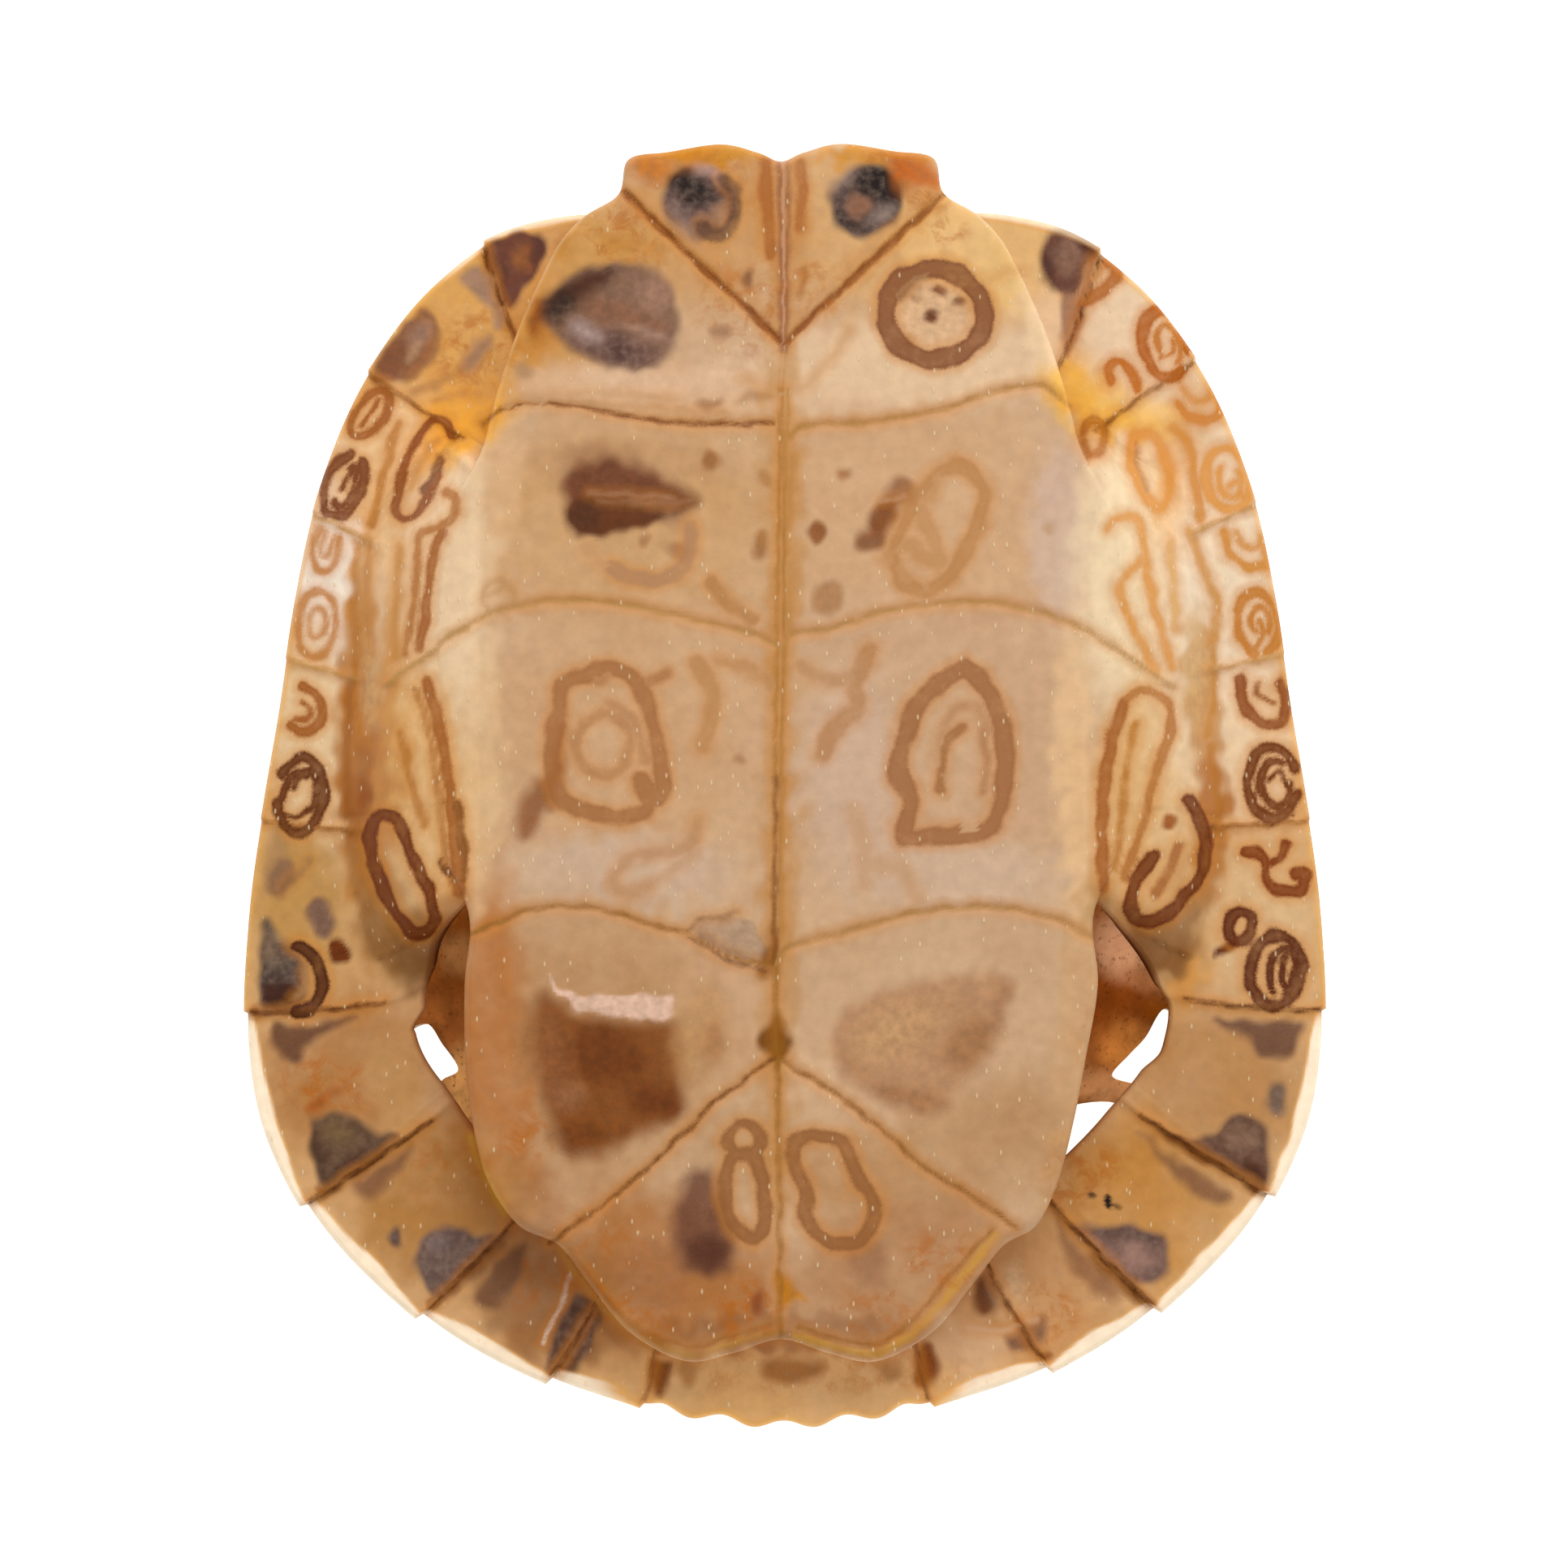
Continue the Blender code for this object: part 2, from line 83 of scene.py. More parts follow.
away = np.array([np.sin(LEAN_RIGHT), -np.sin(LEAN_TAIL), 0.0])
away[2] = np.sqrt(1 - away @ away)
right = np.cross(-away, (0, 1, 0))
right /= np.linalg.norm(right)
up = np.cross(right, -away)
eye = TARGET + away * DISTANCE

camera = bpy.data.objects.new("camera", bpy.data.cameras.new("camera"))
camera.data.sensor_width = 36
camera.data.lens = 36 * DISTANCE / (PIXELS * MM_PER_PIXEL)
camera.data.clip_start = 0.01
camera.matrix_world = Matrix(np.column_stack((right, up, away)).tolist()).to_4x4()
camera.location = eye * MM
bpy.context.scene.collection.objects.link(camera)
bpy.context.scene.camera = camera


def picture_point(points):
    """Where points in mm appear in the photograph, in its pixels: a pinhole projection."""
    ray = points - eye
    depth = -(ray @ away)
    scale = DISTANCE / MM_PER_PIXEL / depth
    return PIXELS / 2 + (ray @ right) * scale, PIXELS / 2 - (ray @ up) * scale


print("lens, mm:", round(camera.data.lens, 1))

# %% [markdown]
# ## Curves and rises
#
# A few small helpers carry most of the shape. `through` draws a smooth curve through a few measured
# values, `ease` goes from 0 to 1 without a corner, `polar` places points round the shell, and `far_from`
# measures how far points are from a line.

# %% Helpers for curves
def through(table, at):
    """Smooth curve through (place, value) pairs: cubic spans that run level into both ends."""
    places, values = np.array(table, float).T
    slopes = np.gradient(values, places)
    slopes[0] = slopes[-1] = 0.0
    at = np.clip(np.asarray(at, float), places[0], places[-1])
    i = np.clip(np.searchsorted(places, at, side="right") - 1, 0, len(places) - 2)
    span = places[i + 1] - places[i]
    t = (at - places[i]) / span
    return ((2 * t**3 - 3 * t**2 + 1) * values[i] + (t**3 - 2 * t**2 + t) * span * slopes[i]
            + (3 * t**2 - 2 * t**3) * values[i + 1] + (t**3 - t**2) * span * slopes[i + 1])


def ease(low, high, at):
    """0 below low, 1 above high, and 3t^2 - 2t^3 between them."""
    t = np.clip((at - low) / (high - low), 0.0, 1.0)
    return t * t * (3 - 2 * t)


def hump(distance, width):
    """A bell: 1 at distance 0, and e^-1 at width."""
    return np.exp(-(distance / width) ** 2)


def polar(radius, turn, height=None):
    """Points at a radius and an angle clockwise from the head end: x = r sin, y = r cos, and z if given."""
    heading = np.radians(turn)
    parts = [radius * np.sin(heading), radius * np.cos(heading)]
    return np.stack(parts if height is None else parts + [height], -1)


def turn_of(x, y):
    """The angle in degrees of points from the head end, clockwise."""
    return np.degrees(np.arctan2(x, y))


def far_from(line, x, y):
    """Distance from points to a line of straight pieces: the least distance to any piece."""
    best = np.full(np.shape(x), 1e9)
    for (ax, ay), (bx, by) in zip(line[:-1], line[1:]):
        dx, dy = bx - ax, by - ay
        t = np.clip(((x - ax) * dx + (y - ay) * dy) / (dx * dx + dy * dy), 0.0, 1.0)
        best = np.minimum(best, np.hypot(x - ax - t * dx, y - ay - t * dy))
    return best


def rounded(points, closed, steps=4):
    """Smooth line through points: a Catmull-Rom curve with a few steps in each span."""
    p = np.array(points, float)
    if closed:
        before, after, far = np.roll(p, 1, 0), np.roll(p, -1, 0), np.roll(p, -2, 0)
    else:
        q = np.concatenate([[2 * p[0] - p[1]], p, [2 * p[-1] - p[-2]]])
        before, p, after, far = q[:-3], q[1:-2], q[2:-1], q[3:]
    t = (np.arange(steps) / steps)[None, :, None]
    a, b, c, d = (v[:, None] for v in (before, p, after, far))
    line = 0.5 * (2 * b + (c - a) * t + (2 * a - 5 * b + 4 * c - d) * t**2 + (3 * b - a - 3 * c + d) * t**3)
    line = line.reshape(-1, 2)
    return np.concatenate([line, line[:1] if closed else [points[-1]]])


def lumps(x, y, size, seed):
    """Soft unevenness, about -1 to 1: waves of about the given size, in many directions, added up."""
    random = np.random.default_rng(seed)
    total = np.zeros(np.shape(x))
    for _ in range(14):
        heading, phase = random.uniform(0, 2 * np.pi, 2)
        wave = size * random.uniform(0.6, 1.6)
        total += np.sin(2 * np.pi * (x * np.cos(heading) + y * np.sin(heading)) / wave + phase)
    return total / 5.3

# %% [markdown]
# ## The measures of the shell
#
# These are the same values as the solid's, in millimetres. Each table runs from the head end (0 degrees)
# to the tail (180 degrees), the same left and right.

# %% Measures
HEIGHT, DOME_WALL, LIP_WALL, PLATE_WALL, RIM_EDGE = 42.0, 1.9, 1.8, 1.9, 0.9
REST_CUT, KEEL, SPINE = 0.32, 0.6, 1.3
RIM_RADIUS = ((0, 48.7), (12, 49.6), (21.5, 51.5), (26, 52.0), (34, 51.2), (45, 48.7), (55, 46.1),
              (68, 43.2), (80, 41.9), (90, 42.4), (103.5, 44.8), (116, 48.3), (122, 49.8), (128.5, 50.8),
              (140, 51.3),
              (152, 51.2), (165, 50.6), (180, 50.7))
RIM_HEIGHT = ((0, 28.0), (30, 28.6), (60, 29.5), (90, 30.0), (110, 31.4), (125, 33.0), (145, 32.8),
              (160, 32.0), (180, 30.6))
FULLNESS = ((0, 0.55), (45, 0.40), (90, 0.30), (110, 0.40), (125, 0.60), (145, 0.75), (180, 0.80))
FLARE = ((0, 0.03), (45, 0.015), (90, 0.0), (110, 0.03), (130, 0.06), (180, 0.06))
LIP_INNER = ((0, 41.0), (20, 42.5), (30, 40.6), (34, 38.2), (38, 35.8), (41.5, 33.8), (46, 31.6),
             (51, 29.8), (60, 26.8), (75, 23.9), (90, 23.0), (104, 23.8), (108.5, 25.4), (111.5, 29.0),
             (115, 32.8),
             (118.5, 35.0), (123, 36.3), (135, 37.0), (145, 37.6), (160, 39.5), (180, 41.0))
BAND_WIDTH = ((0, 10.0), (36, 10.5), (44, 9.1), (50, 6.5), (58.7, 5.0), (74, 5.5), (85, 5.8), (92.7, 6.8),
              (100, 8.2), (112, 11.5), (121, 15.0), (140, 16.0), (180, 12.0))
BAND_RISE = ((0, 0.3), (40, 0.8), (60, 1.5), (90, 1.5), (112, 0.3), (130, -1.2), (180, -0.8))
INSIDE_CORNER = ((0, 4.2), (10, 4.2), (40, 3.4), (100, 3.4), (130, 5.2), (180, 5.2))
RIM_SEAMS = {
    "right": (4.0, 17.0, 30.2, 43.3, 58.2, 74.3, 92.8, 111.9, 129.7, 144.3, 155.4, 166.5, 180.0),
    "left": (4.0, 17.0, 28.6, 44.5, 59.0, 74.6, 92.6, 112.1, 130.8, 145.3, 158.4, 167.1, 180.0),
}
INNER_SEAMS = {
    "right": (4.0, 18.5, 33.4, 39.8, 56.4, 73.0, 95.2, 117.5, 132.1, 147.0, 157.2, 166.8, 180.0),
    "left": (4.0, 18.5, 31.5, 41.0, 57.3, 74.8, 96.0, 117.8, 132.9, 148.4, 161.0, 167.3, 180.0),
}
SEAMS_LEAN = 13.0            # mm from the rim to where the seams' inner ends are
TOOTH = np.array((0.3, 0.7, 0.4, 0.15, 0.1, 0.1, 0.2, 0.8, 1.0, 1.0, 0.8, 0.5))
AXILLA, GROIN = (37.5, 44.5), (107.0, 121.0)
CREASE_X, CROWN_DROP, WALL_POWER = 24.5, 0.6, 1.8
PLASTRON_MIDDLE = 3.0
PLASTRON_OUTLINE = (
    (0.0, 50.2), (1.8, 50.9), (4.8, 51.6), (9.0, 51.0), (12.2, 50.4), (13.0, 47.6), (15.6, 45.9),
    (17.6, 43.8), (19.3, 40.6), (21.0, 36.7), (22.3, 32.9), (23.2, 29.6), (24.0, 26.8), (27.3, 20.0),
    (27.6, 8.0), (27.3, -4.0),
    (24.8, -10.0), (25.1, -15.6), (24.7, -21.6), (24.0, -26.4), (22.8, -31.0), (20.6, -34.6), (17.6, -36.2),
    (15.2, -39.2), (12.0, -43.0), (7.6, -45.3), (3.8, -44.7), (0.0, -43.6),
)
FLANK_EDGE = 0.81            # share of the rim's radius where the flanks' plates end

# %% [markdown]
# ## Seams between the horn plates
#
# Horn plates meet in fine grooves. The ones that the picture shows are given by their points in it, and
# those on the dome, which it doesn't show, follow the pattern of the kind: five plates down the back and
# four on each flank. Grooves could be sculpted, but the same lines of points here carve the grooves and
# later carry the dark pigment that lies in them, so that the two always agree.

# %% Seams that the picture shows, in its pixels
MIDLINE = ((965, 196), (966, 300), (966, 425), (962, 480), (963, 620), (962, 800), (959, 960), (957, 1100),
           (955, 1200), (957, 1300), (960, 1450), (961, 1560), (960, 1650))
PLATE_SEAMS = (
    MIDLINE,
    ((769, 236), (830, 296), (896, 358), (940, 400), (965, 424)),
    ((1169, 234), (1110, 288), (1044, 350), (990, 400), (965, 424)),
    ((594, 524), (616, 506), (658, 498), (714, 500), (756, 510), (812, 519), (869, 523), (953, 521)),
    ((974, 538), (996, 524), (1066, 521), (1136, 510), (1178, 500), (1221, 483), (1277, 475), (1296, 482),
     (1318, 500)),
    ((476, 843), (529, 804), (594, 760), (639, 747), (686, 740), (742, 742), (798, 750), (869, 767),
     (925, 781), (962, 798)),
    ((962, 800), (976, 782), (1024, 775), (1080, 756), (1136, 746), (1207, 742), (1277, 753), (1333, 774),
     (1380, 802), (1447, 847)),
    ((572, 1156), (588, 1149), (652, 1121), (698, 1117), (744, 1121), (805, 1141), (851, 1153), (905, 1180),
     (955, 1190)),
    ((955, 1190), (974, 1167), (1047, 1147), (1124, 1126), (1185, 1118), (1246, 1120), (1307, 1135),
     (1345, 1154)),
    ((676, 1532), (745, 1483), (819, 1420), (878, 1360), (923, 1327), (956, 1302)),
    ((960, 1302), (984, 1320), (1032, 1349), (1088, 1394), (1143, 1442), (1199, 1475), (1252, 1514)),
)
FOLD_SEAMS = (
    ((476, 671), (475, 750), (476, 843), (471, 900), (462, 960), (448, 1005), (433, 1040)),
    ((1460, 656), (1461, 750), (1452, 850), (1478, 915), (1491, 960), (1497, 1000), (1500, 1040)),
)
print("seams in the picture:", len(PLATE_SEAMS) + len(FOLD_SEAMS))

# %% Seams of the dome, right half, mm
DOME_SEAMS = (
    ((7.5, 43.0), (10.5, 35.0), (9.0, 27.5), (12.8, 19.0), (9.5, 9.0), (13.2, -1.0), (9.5, -10.5),
     (12.2, -20.0), (8.0, -29.0), (12.5, -37.0), (14.5, -42.0)),
    ((0.0, 27.0), (9.0, 27.5)),
    ((0.0, 8.6), (9.5, 9.0)),
    ((0.0, -10.2), (9.5, -10.5)),
    ((0.0, -28.6), (8.0, -29.0)),
    ((12.8, 19.0), (22.0, 22.0), (33.0, 23.5)),
    ((13.2, -1.0), (24.0, -1.5), (37.0, -3.0)),
    ((12.2, -20.0), (23.0, -24.0), (33.5, -28.0)),
)


def picture_seam_distance(lines, u, v):
    """Distance in mm from picture points to the nearest of several seams, with the seams rounded."""
    return np.min([far_from(rounded(line, False), u, v) for line in lines], axis=0) * MM_PER_PIXEL


def dome_seam_distance(x, y):
    """Distance in mm to the nearest seam between the plates of the back and the flanks."""
    return np.min([far_from(line, np.abs(x), y) for line in DOME_SEAMS], axis=0)

# %% [markdown]
# ## Making a mesh from a grid
#
# A grid of points becomes a mesh with one face for each cell. Two forms are enough for this shell: a ring,
# which closes on itself both ways like a bent tyre, and a cap, a square of cells stretched over an outline
# and closed underneath by a few rings and a middle point. Relief is pushed out along the surface's own
# direction.

# %% Helpers for meshes
def outward(points, wrap=False):
    """Unit normals of a grid of points: the cross product of its two directions."""
    if wrap:
        first = np.roll(points, -1, 1) - np.roll(points, 1, 1)
    else:
        first = np.gradient(points, axis=1)
    second = np.gradient(points, axis=0)
    normal = np.cross(first, second)
    return normal / np.maximum(np.linalg.norm(normal, axis=-1, keepdims=True), 1e-12)


def make_piece(name, points, faces):
    """A smooth mesh object from points in mm and faces, riding on the shell's one body."""
    mesh = bpy.data.meshes.new(name)
    mesh.from_pydata((points * MM).tolist(), [], faces)
    mesh.polygons.foreach_set("use_smooth", np.ones(len(mesh.polygons), bool))
    mesh.update()
    piece = bpy.data.objects.new(name, mesh)
    bpy.context.scene.collection.objects.link(piece)
    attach(piece, "root")
    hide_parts("shell")
    triangles = sum(len(f) - 2 for f in faces)
    print(f"{name}: {len(points)} points, {triangles} triangles")
    return piece


def ring_faces(rows, columns):
    """Faces of a grid whose rows and columns both close on themselves."""
    row, column = np.meshgrid(np.arange(rows), np.arange(columns), indexing="ij")
    a = row * columns + column
    b = row * columns + (column + 1) % columns
    c = (row + 1) % rows * columns + (column + 1) % columns
    d = (row + 1) % rows * columns + column
    return np.stack([a, b, c, d], -1).reshape(-1, 4).tolist()


def square_cells(across, along):
    """A square of cells: how far each point is out from the middle, and where round the edge it points.

    The place round the edge runs from 0 at the front left corner, clockwise, to 8.
    """
    x, y = np.meshgrid(np.linspace(-1, 1, across + 1), np.linspace(-1, 1, along + 1))
    out = np.maximum(np.abs(x), np.abs(y))
    size = np.maximum(out, 1e-9)
    px, py = x / size, y / size
    tiny = 1e-9
    sides = (py > 1 - tiny, px > 1 - tiny, py < -1 + tiny)
    return out, np.select(sides, (1 + px, 3 - py, 5 - px), 7 + py) % 8


def edge_points(across, along):
    """Indices of a square of cells' outer points, clockwise from the front left corner."""
    index = np.arange((across + 1) * (along + 1)).reshape(along + 1, across + 1)
    return np.concatenate([index[-1, :-1], index[:0:-1, -1], index[0, :0:-1], index[:-1, 0]])


def cap_mesh(grid, rings, middle, upwards):
    """Points and faces of a cap: the square grid, the rings that lead back under it, and a middle point."""
    along, across = grid.shape[0] - 1, grid.shape[1] - 1
    index = np.arange((across + 1) * (along + 1)).reshape(along + 1, across + 1)
    cells = np.stack([index[:-1, :-1], index[:-1, 1:], index[1:, 1:], index[1:, :-1]], -1).reshape(-1, 4)
    edge = edge_points(across, along)
    points = [grid.reshape(-1, 3)]
    total, last = index.size, edge
    faces = [cells]
    for ring in rings:
        here = total + np.arange(len(edge))
        faces.append(np.stack([last, np.roll(last, -1), np.roll(here, -1), here], -1))
        points.append(ring)
        total, last = total + len(edge), here
    points.append(np.array([middle], float))
    fan = np.stack([last, np.roll(last, -1), np.full(len(last), total)], -1)
    faces = np.concatenate(faces).tolist() + fan.tolist()
    if not upwards:
        faces = [face[::-1] for face in faces]
    return np.concatenate(points), faces

# %% [markdown]
# ## The marginal plates and the bridges
#
# Twelve pairs of small horn plates wrap the shell's rim. In the picture they are the band all round, and
# at the sides the band climbs in a rounded wall to the plastron: the bridge. One profile describes all of
# it. It starts on the dome, goes over the sharp rim, across the band, up the bridge, and back underneath,
# and its shape changes with the angle round the shell. Plates could be modelled one by one and set along a
# curve, but in the real shell they cover one bent sheet of bone, and one surface leaves no gaps between
# them.

# %% The rim and its teeth
def seam_angles(turn, inward):
    """Angles of the thirteen seams on the side of each point, at a depth in mm inwards from the rim."""
    turn, inward = np.broadcast_arrays(turn, inward)
    lean = np.clip(inward / SEAMS_LEAN, 0, 1)
    both = [np.stack([a + (b - a) * lean for a, b in zip(RIM_SEAMS[side], INNER_SEAMS[side])])
            for side in ("left", "right")]
    return np.where(turn < 0, *both)


def along_plate(turn, inward=0.0):
    """Which marginal plate a point is on, 0 to 11, and how far along it, 0 to 1 from front to rear."""
    seams = seam_angles(turn, inward)
    angle = np.broadcast_to(np.abs(turn), seams[0].shape)
    plate = np.sum(angle >= seams[1:12], axis=0)
    low = np.take_along_axis(seams, plate[None], 0)[0]
    high = np.take_along_axis(seams, plate[None] + 1, 0)[0]
    share = np.clip((angle - low) / (high - low), 0.0, 1.0)
    return plate, np.where(angle < seams[0], 0.5, share)


def rim_radius(turn):
    """Radius of the rim in plan: a curve, each plate's bulge and rear corner, and scallops at the tail."""
    angle = np.abs(turn)
    base = through(RIM_RADIUS, angle)
    plate, share = along_plate(turn)
    tooth = TOOTH[plate] * (0.25 * np.sin(np.pi * share) + 0.75 * share**3 - 0.35)
    x = base * np.sin(np.radians(angle))
    scallop = -0.35 * np.cos(2 * np.pi * x / 5.0)
    near_tail = (angle > 90) * (1 - ease(9.6, 12.0, np.abs(x)))
    return base + tooth + scallop * near_tail


def dome_height(share, turn):
    """Outside of the dome: a mix of share^2 and share^4, a flare near the rim and a keel on the back."""
    angle = np.abs(turn)
    full = through(FULLNESS, angle)
    rise = full * share**2 + (1 - full) * share**4
    rise = rise + through(FLARE, angle) * hump(share - 0.82, 0.12) * (1 - share) / 0.18
    z = (through(RIM_HEIGHT, angle) - RIM_EDGE) * rise - REST_CUT * (1 - share**2)
    across = rim_radius(turn) * share * np.sin(np.radians(angle))
    return np.maximum(z - KEEL * hump(across, 1.5) * ease(1.0, 0.75, share), 0.0)


def lip_inner(turn):
    """Radius of the lip's inner edge: a curve, with a tab left and a hollow right, where the gaps are."""
    angle = np.abs(turn)
    left = -1.7 * ease(112.0, 116.5, angle) * ease(122.5, 120.5, angle)
    left = left - 0.4 * ease(121.0, 123.0, angle) * ease(137.0, 130.0, angle)
    right = 0.7 * ease(116.5, 118.5, angle) * ease(128.0, 124.0, angle)
    return through(LIP_INNER, angle) + np.where(turn < 0, left, right)


def lip_height(inward, turn):
    """Upper surface from the rim inwards: the band, whose plates rise to the rear, and the bridge's wall."""
    angle = np.abs(turn)
    width = through(BAND_WIDTH, angle)
    fold = through(RIM_RADIUS, angle) - width
    crease = np.minimum(CREASE_X / np.maximum(np.sin(np.radians(angle)), 0.1), fold - 4.0)
    plate, share = along_plate(turn, inward)
    band = through(RIM_HEIGHT, angle) + through(BAND_RISE, angle) * np.clip(inward / width, 0, 1)
    band = band + 0.6 * TOOTH[plate] * (share**3 - 0.25) * ease(17.0, 8.0, inward)
    climb = np.clip((inward - width) / (fold - crease), 0.0, 1.0)
    wall = (1 - (1 - climb) ** WALL_POWER) * ease(*AXILLA, angle) * ease(GROIN[1], GROIN[0], angle)
    return band + (HEIGHT - CROWN_DROP - band) * wall


# %% The profile of the rim, all the way round
COLUMNS = 90                 # for each 30 degrees, evenly between the seams, so that grid lines follow them


def rim_turn(inward):
    """Signed angles of the grid's columns at a depth in mm inwards: each plate has its own even columns."""
    sides = []
    for side, sign in (("left", -1), ("right", 1)):
        lean = np.clip(np.asarray(inward) / SEAMS_LEAN, 0, 1)
        marks, inner = (0.0, *RIM_SEAMS[side]), (0.0, *INNER_SEAMS[side])
        rows = []
        for k in range(13):
            count = max(int(round((marks[k + 1] - marks[k]) / 30 * COLUMNS)), 4)
            share = (np.arange(count) + (0.02 if k else 0)) / count
            low = marks[k] + (inner[k] - marks[k]) * lean
            high = marks[k + 1] + (inner[k + 1] - marks[k + 1]) * lean
            rows.append(low[..., None] + (high - low)[..., None] * share)
        sides.append(sign * np.concatenate(rows, -1))
    left, right = sides
    end = np.full(left.shape[:-1] + (1,), 180.0)
    return np.concatenate([right, end, left[..., :0:-1]], -1)


turn = turn_of_rim = rim_turn(0.0)
angle = np.abs(turn)
rim = rim_radius(turn)
print("columns round the rim:", len(turn))

dome_share = np.linspace(FLANK_EDGE, 1.0, 15)[:, None]
dome_r, dome_z = rim * dome_share, dome_height(dome_share, turn)

LIP_ROWS = 58
lip_share = np.linspace(0.0, 1.0, LIP_ROWS) ** 1.12
lip_turn = rim_turn(lip_share * 15.0)
lip_width = rim_radius(lip_turn) - lip_inner(lip_turn)
lip_in = 0.25 + lip_share[:, None] * (lip_width - 0.25)
lip_r, lip_z = rim_radius(lip_turn) - lip_in, lip_height(lip_in, lip_turn)
edge_r = rim + 0.12
edge_z = (dome_z[-1] + lip_z[0]) / 2


def lip_under(inward, turn):
    """Underside of the lip: its upper surface moved down, square to the surface, by the wall's thickness."""
    slope = (lip_height(inward + 0.1, turn) - lip_height(inward - 0.1, turn)) / 0.2
    size = np.hypot(slope, 1)
    return rim_radius(turn) - inward - LIP_WALL * slope / size, lip_height(inward, turn) - LIP_WALL / size


under_turn = lip_turn[[-1] * 5 + [-12, -24, -40]]
under_angle = np.abs(under_turn)
under_rim = rim_radius(under_turn)
under_width = under_rim - lip_inner(under_turn)
corner = through(INSIDE_CORNER, under_angle)
fold = np.clip(through(BAND_WIDTH, under_angle), 0.3 * under_width, 0.75 * under_width)
wall_share = np.array((0.96, 0.75, 0.5, 0.25, 0, 0, 0, 0))[:, None]
band_share = np.array((1, 1, 1, 1, 1, 0.66, 0.33, 0.0))[:, None]
back = fold + wall_share * (under_width - fold) - (1 - band_share) * (fold - corner)
under_r, under_z = lip_under(back, under_turn)
end_r = lip_r[-1] - 0.3
end_z = (lip_z[-1] + under_z[0]) / 2


def dome_inside(share, turn):
    """Inside of the dome: the outside moved in, square to the surface, by the wall's thickness."""
    radius = rim_radius(turn)
    step = 0.1 / radius
    slope = (dome_height(share + step, turn) - dome_height(share - step, turn)) / 0.2
    size = np.hypot(slope, 1)
    return radius * share - DOME_WALL * slope / size, dome_height(share, turn) + DOME_WALL / size


top_share = (rim - through(INSIDE_CORNER, angle) + 1.2) / rim
inside_share = np.linspace(1.0, 0.0, 6)[:, None] * (top_share - 0.8) + 0.8
inside_r, inside_z = dome_inside(inside_share, turn)

profile_r = np.concatenate([dome_r, edge_r[None], lip_r, end_r[None], under_r, inside_r])
profile_z = np.concatenate([dome_z, edge_z[None], lip_z, end_z[None], under_z, inside_z])
rows_turn = [np.broadcast_to(turn, dome_r.shape), turn[None], lip_turn, lip_turn[-1:], under_turn,
             np.broadcast_to(turn, inside_r.shape)]
rim_grid = polar(profile_r, np.concatenate(rows_turn), profile_z)
print("rim rows:", len(rim_grid))


# %% Relief of the marginal plates
def upper_relief(points):
    """Height in mm of the relief that the picture shows: seams' grooves, swellings beside them, lumps."""
    u, v = picture_point(points)
    near = picture_seam_distance(PLATE_SEAMS, u, v)
    front = picture_seam_distance(PLATE_SEAMS[1:3], u, v)
    groove = -0.16 * hump(near, 0.22) + 0.04 * hump(near - 0.7, 0.45) - 0.2 * hump(front, 0.3)
    x, y = points[..., 0], points[..., 1]
    return groove + 0.09 * lumps(x, y, 17.0, 21) + 0.02 * lumps(x, y, 6.0, 22)


def rim_relief(points, inward, turn):
    """The same for the marginal plates: grooves between them, and a fine one where the bridge starts."""
    u, v = picture_point(points)
    fold = picture_seam_distance(FOLD_SEAMS, u, v)
    radius = np.hypot(points[..., 0], points[..., 1])
    beside = np.min(np.abs(seam_angles(turn, inward) - np.abs(turn)), axis=0) * np.radians(1.0) * radius
    on_band = 1 - ease(0.6, 2.4, inward - through(BAND_WIDTH, np.abs(turn)) + 0 * turn) \
        * ease(42.0, 46.0, np.abs(turn)) * ease(109.0, 105.0, np.abs(turn))
    groove = -0.16 * hump(beside, 0.28) + 0.05 * hump(beside - 0.8, 0.45)
    return groove * on_band - 0.1 * hump(fold, 0.25)


first_lip = len(dome_share) + 1
last_lip = first_lip + len(lip_r)
normals = outward(rim_grid, wrap=True)
relief = np.zeros(rim_grid.shape[:2])
lip_points = rim_grid[first_lip:last_lip]
lip_relief = upper_relief(lip_points) + rim_relief(lip_points, lip_in, lip_turn)
relief[first_lip:last_lip] = lip_relief * ease(0.0, 0.8, lip_in)
beside = np.min(np.abs(seam_angles(turn, 0.0) - angle), axis=0) * np.radians(1.0) * rim + 0 * dome_share
from_flank = (dome_share - FLANK_EDGE) * rim
under_rim = -0.28 * hump(beside, 0.35) * ease(1.0, 0.95, dome_share) - 0.3 * hump(from_flank, 0.5)
growth = 0.05 * np.cos(2 * np.pi * np.minimum(beside, from_flank) / 1.1)
relief[:len(dome_share)] = under_rim + growth * ease(1.0, 0.9, dome_share)
rim_grid = rim_grid + normals * relief[..., None]
rim_faces = ring_faces(*rim_grid.shape[:2])
rim_piece = make_piece("marginal_plates_and_bridges", rim_grid.reshape(-1, 3), rim_faces)

# %% [markdown]
# ## The plates of the back and flanks
#
# Under the shell, as it lies, is the dome with its five plates along the back and four on each flank. The
# camera doesn't see it, but the model is looked at from all sides. A squeezed sphere would come close, but
# a cap over a round outline takes its height from the formula that the rim uses, so the two meet exactly.
# It is pushed out and in by the seams' grooves and by the growth rings that run parallel to them.

# %% The dome
ACROSS, ALONG = 240, 250
out, place = square_cells(ACROSS, ALONG)
turn = (place - 1) * 45.0
turn = np.where(turn > 180, turn - 360, turn)


def dome_point(share, turn):
    """Point on the outside of the dome at a share of the rim radius, for an angle in degrees."""
    return polar(rim_radius(turn) * share, turn, dome_height(share, turn))


